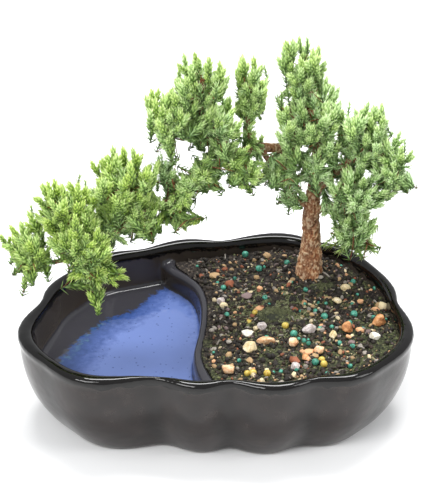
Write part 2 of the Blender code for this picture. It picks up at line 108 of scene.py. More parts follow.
def pick(*objects):
    """Only these are selected, and the first is active."""
    deselect()
    for item in objects:
        item.select_set(True)
    bpy.context.view_layer.objects.active = objects[0]
    return objects[0]


def modify(piece, kind, **settings):
    """Adds one modifier and applies it."""
    pick(piece)
    step = piece.modifiers.new(kind.lower(), kind)
    for key, value in settings.items():
        setattr(step, key, value)
    bpy.ops.object.modifier_apply(modifier=step.name)
    return piece


def cut_or_join(piece, tool, operation):
    """An exact Boolean with a tool, which is then removed."""
    modify(piece, "BOOLEAN", operation=operation, solver="EXACT", object=tool)
    bpy.data.objects.remove(tool, do_unlink=True)
    return piece


def cad_copy(node, name):
    """A loose copy of a CAD node's mesh with its doubled corners merged."""
    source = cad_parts[node]
    made = bpy.data.objects.new(name, source.data.copy())
    bpy.context.collection.objects.link(made)
    made.data.materials.clear()
    pick(made)
    bpy.ops.object.mode_set(mode="EDIT")
    bpy.ops.mesh.select_all(action="SELECT")
    bpy.ops.mesh.remove_doubles(threshold=0.00001)
    bpy.ops.object.mode_set(mode="OBJECT")
    return made


def settle(piece, name, finish, slot, *nodes, smooth=None):
    """The last step of every piece: name, finish, smoothing angle, body and CAD nodes; the slot argument is not used.
    """
    pick(piece)
    bpy.ops.object.transform_apply(location=True, rotation=True, scale=True)
    piece.name = piece.data.name = name
    piece.data.materials.clear()
    piece.data.materials.append(finish)
    if smooth is not None:
        bpy.ops.object.shade_smooth_by_angle(angle=math.radians(smooth))
    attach(piece, "root")
    if nodes:
        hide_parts(*nodes)
    piece.data.calc_loop_triangles()
    print(f"{name}: {len(piece.data.loop_triangles)} triangles")
    return piece


def corners(piece):
    """The corners of a mesh as an array of rows."""
    flat = np.empty(len(piece.data.vertices) * 3)
    piece.data.vertices.foreach_get("co", flat)
    return flat.reshape(-1, 3)


def put_corners(piece, places):
    piece.data.vertices.foreach_set("co", np.ascontiguousarray(places, dtype=float).ravel())
    piece.data.update()


def corner_normals(piece):
    flat = np.empty(len(piece.data.vertices) * 3, dtype=np.float32)
    piece.data.vertex_normals.foreach_get("vector", flat)
    return flat.reshape(-1, 3).astype(float)


def write_attribute(piece, name, values):
    """A number for each corner, which a material can read by its name."""
    layer = piece.data.attributes.new(name, "FLOAT", "POINT")
    layer.data.foreach_set("value", np.ascontiguousarray(values, dtype=np.float32))


# %% [markdown]
# ## Camera, floor and light
# The camera looks down at the pot by 29.5 degrees with a long lens, as on a product shot.  The floor is a pale
# seamless sheet.  Two soft boxes, one large at the front left and one at the right, and a strip above give the
# glaze its white streaks, while the even surroundings keep the shadows soft.

# %% The camera
CAMERA_TARGET = Vector((0.002, -0.012, 0.110))
CAMERA_DISTANCE = 1.0
CAMERA_PITCH = math.radians(29.5)

deselect()
back_off = Vector((0, -math.cos(CAMERA_PITCH), math.sin(CAMERA_PITCH))) * CAMERA_DISTANCE
bpy.ops.object.camera_add(location=CAMERA_TARGET + back_off, rotation=(math.pi / 2 - CAMERA_PITCH, 0, 0))
camera = bpy.context.object
camera.data.sensor_width = 36.0
camera.data.lens = 117.67
bpy.context.scene.camera = camera
print("camera at", [round(v, 3) for v in camera.location])

# %% The floor and the surroundings
bpy.ops.mesh.primitive_plane_add(size=40, location=(0, 0, -0.0004))
floor = bpy.context.object
floor.name = "floor"
paper, tree, shader = new_finish("matt_white_paper", Roughness=0.9)
shader.inputs["Base Color"].default_value = linear("#fbfbfb")
floor.data.materials.append(paper)

scene = bpy.context.scene
scene.view_settings.view_transform = "Standard"
world = bpy.data.worlds.new("studio")
scene.world = world
world.use_nodes = True
world.node_tree.nodes["Background"].inputs["Color"].default_value = linear("#f4f6f8")
world.node_tree.nodes["Background"].inputs["Strength"].default_value = 0.70


# %% The soft boxes
def soft_box(name, place, target, size, power):
    """A rectangular light that faces its target."""
    deselect()
    bpy.ops.object.light_add(type="AREA", location=place)
    lamp = bpy.context.object
    lamp.name = name
    lamp.data.shape = "RECTANGLE"
    lamp.data.size, lamp.data.size_y = size
    lamp.data.energy = power
    lamp.rotation_euler = (Vector(target) - Vector(place)).to_track_quat("-Z", "Y").to_euler()
    return lamp


soft_box("box_front_left", (-0.75, -0.95, 1.15), (0, 0, 0.08), (0.75, 0.55), 14.0)
soft_box("box_right", (1.05, -0.45, 0.85), (0, 0, 0.08), (0.5, 0.7), 5.5)
soft_box("box_above", (0.05, 0.35, 1.35), (0, 0, 0.05), (0.9, 0.35), 19.0)

# %% [markdown]
# ## The pot's outline
# The pot is slip-cast: liquid clay took the shape of a plaster mould with twelve scallops.  Each scallop of the
# rim runs from one crease to the next and bulges to its peak.  Lower rings are the rim's outline drawn in, so the
# scallops run down to the foot, and the inside is the outside moved inwards by the thickness of the clay.

# %% Sizes of the pot, as in the CAD model
POT_WIDTH, POT_DEPTH, POT_HEIGHT = 0.247, 0.190, 0.062
WALL, BASE_INSET, WALL_CURVE = 0.007, 0.018, 2.6
LIP_HEIGHT, POND_FLOOR, DIVIDER_TOP = 0.006, 0.035, 0.050
DIVIDER_THICKNESS, DIVIDER_FLARE = 0.0065, 0.8
WELL_FLOOR = WALL + 0.001
SOIL_LEVEL = POT_HEIGHT - 0.0105
DRAIN_RADIUS, DRAIN_PLACES = 0.006, [(0.28, 0.34), (0.58, -0.32)]

# Shares of half the width and half the depth: a crease, then the peak that follows it.
SCALLOPS = [((-0.89, 0.04), (-1.00, -0.34)), ((-0.82, -0.70), (-0.60, -0.93)), ((-0.29, -0.83), (-0.09, -0.98)),
            ((0.07, -0.88), (0.29, -1.00)), ((0.48, -0.87), (0.68, -0.88)), ((0.84, -0.70), (1.01, -0.36)),
            ((0.94, 0.04), (0.95, 0.26)), ((0.85, 0.55), (0.72, 0.80)), ((0.57, 0.86), (0.35, 1.02)),
            ((0.04, 0.86), (-0.18, 0.92)), ((-0.39, 0.75), (-0.62, 0.70)), ((-0.76, 0.47), (-0.88, 0.26))]
SCALLOP_STEPS, SCALLOP_POWER = 6, 0.75
INSET_STEPS, CREASE_EASE = 6, 0.3
DIVIDER_LINE = [(-0.27, 0.92), (-0.24, 0.72), (-0.16, 0.59), (-0.09, 0.45), (-0.055, 0.26), (-0.05, 0.06),
                (-0.06, -0.15), (-0.08, -0.37), (-0.07, -0.54), (-0.03, -0.72), (0.02, -0.94)]
DIVIDER_STEPS = 3


def plan(share):
    """A place given as shares of half the pot, in metres."""
    return Vector((share[0] * POT_WIDTH / 2, share[1] * POT_DEPTH / 2))


# %% Rings of the wall
def rim_outline():
    points = []
    for i, (crease, peak) in enumerate(SCALLOPS):
        start, top = plan(crease), plan(peak)
        end = plan(SCALLOPS[(i + 1) % len(SCALLOPS)][0])
        bulge = top - (start + end) / 2
        for step in range(SCALLOP_STEPS):
            t = step / SCALLOP_STEPS
            points.append(start.lerp(end, t) + bulge * math.sin(math.pi * t) ** SCALLOP_POWER)
    count = len(points)
    return [(points[i - 1] + 4 * points[i] + points[(i + 1) % count]) / 6 for i in range(count)]


RIM = rim_outline()


def ring(inset, height, clay=0.0):
    """The rim's outline drawn in by an inset with its scallops kept, then moved inwards by a thickness of clay."""
    shrink = Vector((1 - inset / (POT_WIDTH / 2), 1 - inset / (POT_DEPTH / 2)))
    points, count = [point * shrink for point in RIM], len(RIM)
    for _ in range(INSET_STEPS if clay else 0):
        moved = []
        for i in range(count):
            before, after = points[i - 1], points[(i + 1) % count]
            ahead = after - before
            step = Vector((-ahead.y, ahead.x)).normalized() * clay / INSET_STEPS
            moved.append(points[i].lerp((before + after) / 2, CREASE_EASE) + step)
        points = moved
    return [Vector((point.x, point.y, height)) for point in points]


def outer_inset(height):
    return BASE_INSET * max(0.0, 1 - height / POT_HEIGHT) ** WALL_CURVE


print("rim:", len(RIM), "points, spans", round(max(p.x for p in RIM) - min(p.x for p in RIM), 4), "m")


# %% The divider's line
def divider_side(side, extra=0.0):
    """The divider's face on the soil's side (1) or the pond's side (-1), or its middle line (0)."""
    knots = [plan(share) for share in DIVIDER_LINE]
    line = []
    for i in range(len(knots) - 1):
        before, after = knots[max(i - 1, 0)], knots[min(i + 2, len(knots) - 1)]
        for step in range(DIVIDER_STEPS):
            t = step / DIVIDER_STEPS
            bend = (after - knots[i]) * (t ** 3 - t ** 2) + (knots[i + 1] - before) * (t ** 3 - 2 * t ** 2 + t)
            line.append(knots[i].lerp(knots[i + 1], t * t * (3 - 2 * t)) + bend / 2)
    line.append(knots[-1])
    moved = []
    for i, point in enumerate(line):
        ahead = line[min(i + 1, len(line) - 1)] - line[max(i - 1, 0)]
        to_soil = Vector((-ahead.y, ahead.x)).normalized()
        end = abs(2 * i / (len(line) - 1) - 1)
        half = DIVIDER_THICKNESS / 2 * (1 + DIVIDER_FLARE * end ** 4)
        moved.append(point + to_soil * side * (half + extra))
    return moved


def beside(line, side):
    """A plan outline of everything on one side (-1 is the pond's) of a line down the pot."""
    far = side * POT_WIDTH
    return [(point.x, point.y) for point in line] + [(far, -POT_DEPTH), (far, POT_DEPTH)]


# %% [markdown]
# ## Raising the pot
# A wall like this can be raised as a potter would: start with a flat circle, lay it on the outline, and extrude
# it upwards ring by ring.  Subdivision rounds the rings into a smooth skin.  The inside is raised in the same way
# and cut out of the outside, and the divider and the pond's shelf are left standing by taking them out of that
# cutter first.  A last even remesh melts all the edges together, as a thick glaze does.


# %% A sleeve raised ring by ring
def sleeve(rings, name, levels=0):
    """A closed skin through rings: a circle is laid on the first, and extruded to each next one."""
    deselect()
    bpy.ops.mesh.primitive_circle_add(vertices=len(rings[0]), radius=1.0)
    made = bpy.context.object
    made.name = name
    for vert, point in zip(made.data.vertices, rings[0]):
        vert.co = point
    bpy.ops.object.mode_set(mode="EDIT")
    bpy.ops.mesh.select_all(action="SELECT")
    bpy.ops.mesh.edge_face_add()
    bpy.ops.mesh.select_all(action="SELECT")
    for low, high in zip(rings, rings[1:]):
        bpy.ops.mesh.extrude_region_move()
        shape = bmesh.from_edit_mesh(made.data)
        fresh = {tuple(round(c * 1e7) for c in vert.co): vert for vert in shape.verts if vert.select}
        tree_of_rings = kdtree.KDTree(len(low))
        for i, point in enumerate(low):
            tree_of_rings.insert(point, i)
        tree_of_rings.balance()
        for vert in fresh.values():
            vert.co = high[tree_of_rings.find(vert.co)[1]]
        bmesh.update_edit_mesh(made.data)
    bpy.ops.mesh.select_all(action="SELECT")
    bpy.ops.mesh.normals_make_consistent(inside=False)
    bpy.ops.object.mode_set(mode="OBJECT")
    if levels:
        modify(made, "SUBSURF", levels=levels, render_levels=levels)
    return made


def slab(outline, low, high, name):
    """An upright block over a plan outline."""
    return sleeve([[Vector((x, y, z)) for x, y in outline] for z in (low, high)], name)


# %% The outside, the inside and what stays standing in it
under_lip = POT_HEIGHT - LIP_HEIGHT
# Subdividing and melting eat half a millimetre off every bulge, so the rings start that much wider.
SWELL = 0.0005
outside = [ring(outer_inset(0) + 0.004, 0.0), ring(outer_inset(0) + 0.0015 - SWELL, 0.0)]
for share in (0.015, 0.05, 0.12, 0.24, 0.40, 0.58, 0.76, 0.92, 0.985):
    outside.append(ring(outer_inset(under_lip * share) + 0.0008 * share - SWELL, under_lip * share))
for inset, height in ((0.0009, 0.0562), (0.0, 0.0572), (-0.0002, 0.0590), (0.0003, 0.0607), (0.0014, 0.0617),
                      (0.0026, 0.0621), (0.0036, 0.0621)):
    outside.append(ring(inset - SWELL, height))
pot = sleeve(outside, "pot_outside", 2)

fillet = 0.004
inside = [ring(outer_inset(WELL_FLOOR), WELL_FLOOR, WALL + fillet + 0.003),
          ring(outer_inset(WELL_FLOOR), WELL_FLOOR, WALL + fillet),
          ring(outer_inset(WELL_FLOOR + fillet), WELL_FLOOR + fillet, WALL)]
for height in (0.020, 0.029, 0.038, 0.047, 0.054):
    inside.append(ring(outer_inset(height), height, WALL))
for clay, height in ((0.0068, 0.0575), (0.0060, 0.0603), (0.0047, 0.0617), (0.0037, 0.0625), (0.0037, 0.067)):
    inside.append(ring(0.0, height, clay))
hollow = sleeve(inside, "pot_inside", 2)

cut_or_join(hollow, slab(beside(divider_side(0), -1), -0.01, POND_FLOOR, "pond_shelf"), "DIFFERENCE")
divider = []
for narrower, height in ((0.0, -0.01), (0.0, DIVIDER_TOP - 0.0035), (0.0007, DIVIDER_TOP - 0.0016),
                         (0.0018, DIVIDER_TOP - 0.0003), (0.0026, DIVIDER_TOP)):
    outline = divider_side(1, -narrower) + divider_side(-1, -narrower)[::-1]
    divider.append([Vector((point.x, point.y, height)) for point in outline])
cut_or_join(hollow, sleeve(divider, "divider"), "DIFFERENCE")
cut_or_join(pot, hollow, "DIFFERENCE")
print("pot after the first cut:", len(pot.data.vertices), "corners")

# %% The hollow under the pond and the drain holes
recess = sleeve([ring(BASE_INSET, POND_FLOOR * share - WALL, WALL + 0.002 * share) for share in (0.0, 0.2, 1.0)],
                "under_recess", 1)
cut_or_join(recess, slab(beside(divider_side(-1, 0.001), 1), -0.02, POND_FLOOR, "recess_side"), "DIFFERENCE")
cut_or_join(pot, recess, "DIFFERENCE")
for share in DRAIN_PLACES:
    deselect()
    bpy.ops.mesh.primitive_cylinder_add(vertices=32, radius=DRAIN_RADIUS, depth=4 * WALL,
                                        location=(*plan(share), WALL))
    cut_or_join(pot, bpy.context.object, "DIFFERENCE")

# %% The glaze melts every edge together
POT_MESH_STEP = 0.00138          # small enough for the lip, large enough for under 200,000 triangles
modify(pot, "REMESH", mode="VOXEL", voxel_size=POT_MESH_STEP, adaptivity=0.0)
modify(pot, "SMOOTH", factor=0.5, iterations=9)
print("pot after the remesh:", len(pot.data.polygons), "faces")

# %% [markdown]
# ## Where each glaze lies
# The whole pot is dipped in a black gloss glaze that breaks to charcoal on the wall, stays thickest on the rolled
# lip, and is wiped off the foot.  A pool of blue glaze was poured on the pond's floor.  The material must know
# where it is, so each corner of the mesh carries three numbers: its distance inside the pool's edge, how far it
# belongs to the outer wall, and whether it is on the dry underside.

# %% The pool's edge, and the numbers on the pot
# The pool's outline on the pond's floor, in mm.
POOL = [(-116, -62), (-97, -21), (-86, 4), (-74, 22), (-52, 38), (-43, 54), (-33, 66), (-22, 60), (-8, 44), (0, 25),
        (0, -10), (0, -40), (0, -92), (-60, -112), (-116, -92)]


def distance_inside(points, outline):
    """How far points of the plan lie inside an outline; negative outside."""
    best, crossings = np.full(len(points), 1e9), np.zeros(len(points), dtype=int)
    for i in range(len(outline)):
        a, b = np.array(outline[i - 1], dtype=float), np.array(outline[i], dtype=float)
        along = np.clip(((points - a) @ (b - a)) / ((b - a) @ (b - a)), 0, 1)
        best = np.minimum(best, np.linalg.norm(points - a - along[:, None] * (b - a), axis=1))
        spans = (a[1] > points[:, 1]) != (b[1] > points[:, 1])
        rise = b[1] - a[1] if b[1] != a[1] else 1.0
        crossings += spans & (points[:, 0] < a[0] + (points[:, 1] - a[1]) * (b[0] - a[0]) / rise)
    return np.where(crossings % 2 == 1, best, -best)


places, normals = corners(pot), corner_normals(pot)
shrunk = np.array([outer_inset(z) for z in places[:, 2]])
unshrunk = places[:, :2] / (1 - shrunk[:, None] / (POT_WIDTH / 2, POT_DEPTH / 2))
in_clay = distance_inside(unshrunk, [tuple(point) for point in RIM])
pool = distance_inside(places[:, :2] / MM, POOL) * MM
over_floor = np.clip((places[:, 2] - POND_FLOOR - 0.0008) / 0.003, 0, 1)
in_pond = (places[:, 2] > POND_FLOOR - 0.004) & (places[:, 2] < POND_FLOOR + 0.008) & (in_clay > 0.6 * WALL)
write_attribute(pot, "pool", np.where(in_pond, np.minimum(pool, 0.045) - 0.045 * over_floor, -0.03))
# Up-facing faces of the pond's floor and the divider's crest, painted greyer below: partly glaze that settled, partly
# painted sheen from the light above.
level = (normals[:, 2] > 0.3) & (places[:, 2] > POND_FLOOR - 0.002) & (places[:, 2] < DIVIDER_TOP + 0.002)
write_attribute(pot, "level_glaze_and_sheen", level.astype(float))
# Painted shade along each crease of the mould, fading over about 7.5 mm; the glaze also pools a little thicker there.
folds = np.array([plan(crease) for crease, _ in SCALLOPS])
to_fold = np.min(np.linalg.norm(unshrunk[:, None, :] - folds[None, :, :], axis=2), axis=1)
write_attribute(pot, "crease_shade", np.exp(-(to_fold / 0.0075) ** 2))
write_attribute(pot, "outer", (in_clay < 0.45 * WALL).astype(float))
write_attribute(pot, "dry", ((places[:, 2] < 0.0006) | ((normals[:, 2] < -0.5) & (places[:, 2] < 0.03) &
                                                        (in_clay > 0.02))).astype(float))
print("pool corners:", int((in_pond & (pool > 0)).sum()))

# %% [markdown]
# ## Black stoneware glaze
# A cone-6 gloss glaze: a coat of dark glass, fired on.  Its own colour is nearly black, so what the eye sees is
# mostly reflection.  On the wall it is thinner, a little brown-grey and less glossy, with painted shade along the
# creases; on the lip and inside it is thick and mirror-like, and the inside's lighter brown-grey is a painted
# reflection.  The blue pool is a cobalt glaze that broke into pale, milky patches; it is paler further in from its
# edge and towards the right, and has a teal fringe where it thinned out over the black, and dark cobalt specks.

# %% The glaze
glaze, tree, shader = new_finish("black_gloss_stoneware_glaze", IOR=1.52)
position = add_node(tree, "ShaderNodeTexCoord").outputs["Object"]
outer_mark = add_node(tree, "ShaderNodeAttribute", attribute_name="outer").outputs["Fac"]
dry_mark = add_node(tree, "ShaderNodeAttribute", attribute_name="dry").outputs["Fac"]
pool_mark = add_node(tree, "ShaderNodeAttribute", attribute_name="pool").outputs["Fac"]
height = add_node(tree, "ShaderNodeSeparateXYZ", {"Vector": position}).outputs["Z"]

# Clouding 12 mm across, and runs 5 mm wide that are stretched down the wall.
clouds = add_node(tree, "ShaderNodeTexNoise", {"Vector": position, "Scale": 1 / 0.012, "Detail": 4.0}).outputs["Fac"]
run_space = add_node(tree, "ShaderNodeMapping", {"Vector": position, "Scale": (1, 1, 0.16)}).outputs["Vector"]
runs = add_node(tree, "ShaderNodeTexNoise", {"Vector": run_space, "Scale": 1 / 0.007, "Detail": 3.0}).outputs["Fac"]
wall_colour = add_node(tree, "ShaderNodeValToRGB", {"Fac": clouds},
                       stops=[(0.30, "#1a1514"), (0.55, "#231c1a"), (0.75, "#302926")]).outputs["Color"]
# The wall is darkened along the creases: painted shade.
crease_shade = add_node(tree, "ShaderNodeAttribute", attribute_name="crease_shade").outputs["Fac"]
in_crease_shade = add_node(tree, "ShaderNodeMath", {0: crease_shade, 1: 0.75}, operation="MULTIPLY").outputs[0]
wall_colour = add_node(tree, "ShaderNodeMix", {"Factor": in_crease_shade, "A": wall_colour, "B": "#0b0908"},
                       data_type="RGBA").outputs["Result"]

# The lip's thick glaze ends in a wavy line about 6 mm below the rim.
lip_line = add_node(tree, "ShaderNodeMath", {0: runs, 1: 0.0075, 2: height}, operation="MULTIPLY_ADD").outputs[0]
on_lip = add_node(tree, "ShaderNodeMapRange", {"Value": lip_line, "From Min": 0.0585, "From Max": 0.0600},
                  interpolation_type="SMOOTHSTEP").outputs["Result"]
thin = add_node(tree, "ShaderNodeMath", {0: 1.0, 1: on_lip}, operation="SUBTRACT").outputs[0]
# Inside, the glaze is thick on the walls, and painted greyer where it lay level on the pond's floor and the
# divider's crest: partly glaze that settled, partly painted sheen from the light above.
level_glaze_and_sheen = add_node(tree, "ShaderNodeAttribute", attribute_name="level_glaze_and_sheen").outputs["Fac"]
# The inside's lighter brown-grey is a painted reflection; the lip keeps the glaze's own near-black.
thick_glaze_and_reflection = add_node(tree, "ShaderNodeMix", {"Factor": on_lip, "A": "#3d3631", "B": "#0c0a09"},
                        data_type="RGBA").outputs["Result"]
thick_glaze_and_reflection = add_node(tree, "ShaderNodeMix", {"Factor": level_glaze_and_sheen, "A": thick_glaze_and_reflection, "B": "#36353a"},
                        data_type="RGBA").outputs["Result"]
on_wall = add_node(tree, "ShaderNodeMath", {0: outer_mark, 1: thin}, operation="MULTIPLY").outputs[0]
black = add_node(tree, "ShaderNodeMix", {"Factor": on_wall, "A": thick_glaze_and_reflection, "B": wall_colour},
                 data_type="RGBA").outputs["Result"]

# %% The blue pool
ragged = add_node(tree, "ShaderNodeTexNoise", {"Vector": position, "Scale": 1 / 0.005, "Detail": 6.0,
                                               "Roughness": 0.65}).outputs["Fac"]
edge = add_node(tree, "ShaderNodeMath", {0: ragged, 1: 0.019, 2: pool_mark}, operation="MULTIPLY_ADD").outputs[0]
in_pool = add_node(tree, "ShaderNodeMapRange", {"Value": edge, "From Min": 0.0080, "From Max": 0.0120},
                   interpolation_type="SMOOTHSTEP").outputs["Result"]
# The pool is paler further in from its edge and towards the right; the milky noise breaks it into patches.
across = add_node(tree, "ShaderNodeSeparateXYZ", {"Vector": position}).outputs["X"]
across = add_node(tree, "ShaderNodeMapRange", {"Value": across, "From Min": -0.100, "From Max": -0.030,
                                               "To Min": -0.012, "To Max": 0.008}).outputs["Result"]
edge_across = add_node(tree, "ShaderNodeMath", {0: edge, 1: across}, operation="ADD").outputs[0]
depth = add_node(tree, "ShaderNodeMapRange", {"Value": edge_across, "From Min": 0.006, "From Max": 0.042})
depth = depth.outputs["Result"]
milk_space = add_node(tree, "ShaderNodeTexNoise", {"Vector": position, "Scale": 1 / 0.0045, "Detail": 5.0,
                                                   "Roughness": 0.6}).outputs["Fac"]
milk = add_node(tree, "ShaderNodeMath", {0: milk_space, 1: 0.55, 2: depth}, operation="MULTIPLY_ADD").outputs[0]
blue = add_node(tree, "ShaderNodeValToRGB", {"Fac": milk},
                stops=[(0.18, "#41607c"), (0.30, "#2a4172"), (0.54, "#3a5088"), (0.80, "#5468a2"),
                       (1.0, "#667ab4")]).outputs["Color"]
specks = add_node(tree, "ShaderNodeTexVoronoi", {"Vector": position, "Scale": 1 / 0.0042}).outputs["Distance"]
speck = add_node(tree, "ShaderNodeMapRange", {"Value": specks, "From Min": 0.07, "From Max": 0.17}).outputs["Result"]
blue = add_node(tree, "ShaderNodeMix", {"Factor": speck, "A": "#3a4a78", "B": blue}, data_type="RGBA").outputs["Result"]
glazed = add_node(tree, "ShaderNodeMix", {"Factor": in_pool, "A": black, "B": blue}, data_type="RGBA").outputs["Result"]
fired = add_node(tree, "ShaderNodeMix", {"Factor": dry_mark, "A": glazed, "B": "#6f6258"}, data_type="RGBA")
tree.links.new(fired.outputs["Result"], shader.inputs["Base Color"])

gloss = add_node(tree, "ShaderNodeMapRange", {"Value": on_wall, "To Min": 0.05, "To Max": 0.16}).outputs["Result"]
shine = add_node(tree, "ShaderNodeMapRange", {"Value": on_wall, "To Min": 0.36, "To Max": 0.38}).outputs["Result"]
tree.links.new(shine, shader.inputs["Specular IOR Level"])
rough = add_node(tree, "ShaderNodeMath", {0: dry_mark, 1: 0.6, 2: gloss}, operation="MULTIPLY_ADD").outputs[0]
tree.links.new(rough, shader.inputs["Roughness"])
# Glaze never lies quite flat: swells about 9 mm across and 0.1 mm high.
swell = add_node(tree, "ShaderNodeTexNoise", {"Vector": position, "Scale": 1 / 0.009, "Detail": 1.0}).outputs["Fac"]
bump = add_node(tree, "ShaderNodeBump", {"Height": swell, "Strength": 0.5, "Distance": 0.0005})
tree.links.new(bump.outputs["Normal"], shader.inputs["Normal"])
settle(pot, "glazed_pot", glaze, "glazed_stoneware", "pot", smooth=180)

# %% [markdown]
# ## Drain screens
# A square of black garden mesh lies over each drain hole.  The CAD's grid is already the right shape, so it only
# gets its finish: extruded polyethylene, dull, with a dusting of soil.

# %% The screens' plastic
screen_finish, tree, shader = new_finish("extruded_polyethylene_mesh", Roughness=0.5)
position = add_node(tree, "ShaderNodeTexCoord").outputs["Object"]
dust = add_node(tree, "ShaderNodeTexNoise", {"Vector": position, "Scale": 1 / 0.002, "Detail": 3.0}).outputs["Fac"]
colour = add_node(tree, "ShaderNodeValToRGB", {"Fac": dust}, stops=[(0.45, "#161616"), (0.75, "#3a3027")])
tree.links.new(colour.outputs["Color"], shader.inputs["Base Color"])
for node in ("drain_screen_back", "drain_screen_front"):
    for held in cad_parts[node].material_slots:
        held.material = screen_finish

# %% [markdown]
# ## The soil
# Potting mix is crumbs of peat and bark a millimetre or two across, damp and nearly black, with a green film of
# algae where it stays wet.  A fine grid is laid over the well, its corners outside the well are deleted, and the
# rest is raised by noise of two sizes.  The bulk below it is a copy of the CAD solid.

# %% The height of the soil
FOOT = plan((0.51, 0.57))


def soil_height(x, y):
    """Level at the walls, lower along the divider and heaped round the trunk."""
    near_trunk = math.exp(-((x - FOOT.x) ** 2 + (y - FOOT.y) ** 2) / (2 * 0.024 ** 2))
    near_divider = math.exp(-max(0.0, x + 0.01) / 0.02)
    return SOIL_LEVEL + 0.001 * near_trunk - 0.003 * near_divider


def crumbs(x, y):
    """Lumps 5 mm and crumbs 1.3 mm across."""
    spot = Vector((x, y, 0.0))
    lumps = noise.fractal(spot / 0.0052, 0.9, 2.1, 3)
    grains = noise.noise(spot / 0.0021)
    return 0.0014 * lumps + 0.0011 * grains


# %% The crust
SOIL_STEP = 0.00085
well_edge = [tuple(point[:2]) for point in ring(outer_inset(SOIL_LEVEL), 0.0, WALL - 0.0016)]
soil_side = beside(divider_side(1, -0.0016), 1)
deselect()
bpy.ops.mesh.primitive_grid_add(x_subdivisions=round(0.140 / SOIL_STEP), y_subdivisions=round(0.190 / SOIL_STEP),
                                size=1.0, location=(0, 0, 0))
crust = bpy.context.object
places = corners(crust) * (0.140, 0.190, 0.0) + (0.052, 0.0, 0.0)
put_corners(crust, places)
keep = (distance_inside(places[:, :2], well_edge) > 0) & (distance_inside(places[:, :2], soil_side) > 0)
bpy.ops.object.mode_set(mode="EDIT")
bpy.ops.mesh.select_all(action="DESELECT")
shape = bmesh.from_edit_mesh(crust.data)
for vert in shape.verts:
    vert.select = not keep[vert.index]
shape.select_flush(True)
bpy.ops.mesh.delete(type="VERT")
bpy.ops.object.mode_set(mode="OBJECT")
places = corners(crust)
places[:, 2] = [soil_height(x, y) + 0.0009 + crumbs(x, y) for x, y in places[:, :2]]
put_corners(crust, places)

# %% A skirt closes the crust, and the CAD's bulk lies below it
pick(crust)
bpy.ops.object.mode_set(mode="EDIT")
bpy.ops.mesh.select_mode(type="EDGE")
bpy.ops.mesh.select_all(action="DESELECT")
bpy.ops.mesh.select_non_manifold()
bpy.ops.mesh.extrude_edges_move(TRANSFORM_OT_translate={"value": (0, 0, -0.004)})
bpy.ops.mesh.edge_face_add()
bpy.ops.mesh.select_all(action="SELECT")
bpy.ops.mesh.normals_make_consistent(inside=False)
bpy.ops.mesh.select_mode(type="VERT")
bpy.ops.object.mode_set(mode="OBJECT")
bulk = cad_copy("soil", "soil_bulk")
pick(crust, bulk)
bpy.ops.object.join()

# %% Peat and bark crumbs
soil_finish, tree, shader = new_finish("peat_and_bark_potting_mix", Roughness=0.9)
position = add_node(tree, "ShaderNodeTexCoord").outputs["Object"]
patches = add_node(tree, "ShaderNodeTexNoise", {"Vector": position, "Scale": 1 / 0.011, "Detail": 3.0}).outputs["Fac"]
grain = add_node(tree, "ShaderNodeTexNoise", {"Vector": position, "Scale": 1 / 0.0021, "Detail": 5.0,
                                              "Roughness": 0.7}).outputs["Fac"]
peat = add_node(tree, "ShaderNodeValToRGB", {"Fac": grain},
                stops=[(0.34, "#080504"), (0.48, "#1f1814"), (0.58, "#40372f"), (0.70, "#83776a")]).outputs["Color"]
algae = add_node(tree, "ShaderNodeValToRGB", {"Fac": grain},
                 stops=[(0.33, "#0a0c05"), (0.47, "#292d18"), (0.59, "#535836"), (0.71, "#868b5c")]).outputs["Color"]
# Algae grows where the pot stays damp: towards the front and the right.
place = add_node(tree, "ShaderNodeSeparateXYZ", {"Vector": position})
damp = add_node(tree, "ShaderNodeMath", {0: place.outputs["X"], 1: place.outputs["Y"]}, operation="SUBTRACT").outputs[0]
damp = add_node(tree, "ShaderNodeMath", {0: damp, 1: 1.7, 2: patches}, operation="MULTIPLY_ADD").outputs[0]
wet = add_node(tree, "ShaderNodeMapRange", {"Value": damp, "From Min": 0.50, "From Max": 0.68}).outputs["Result"]
mixed = add_node(tree, "ShaderNodeMix", {"Factor": wet, "A": peat, "B": algae}, data_type="RGBA")
tree.links.new(mixed.outputs["Result"], shader.inputs["Base Color"])
bump = add_node(tree, "ShaderNodeBump", {"Height": grain, "Strength": 0.8, "Distance": 0.0006})
tree.links.new(bump.outputs["Normal"], shader.inputs["Normal"])
settle(crust, "soil_bed", soil_finish, "potting_soil", "soil")

# %% [markdown]
# ## Stones
# The larger stones are river gravel: tumbled, so their edges are round, but with a few flat faces left.  Each CAD
# stone is rounded by subdivision, then a handful of planes is pressed into it and its skin is pitted by noise.
# One mineral finish serves them all, with its own three colours for each kind of stone.


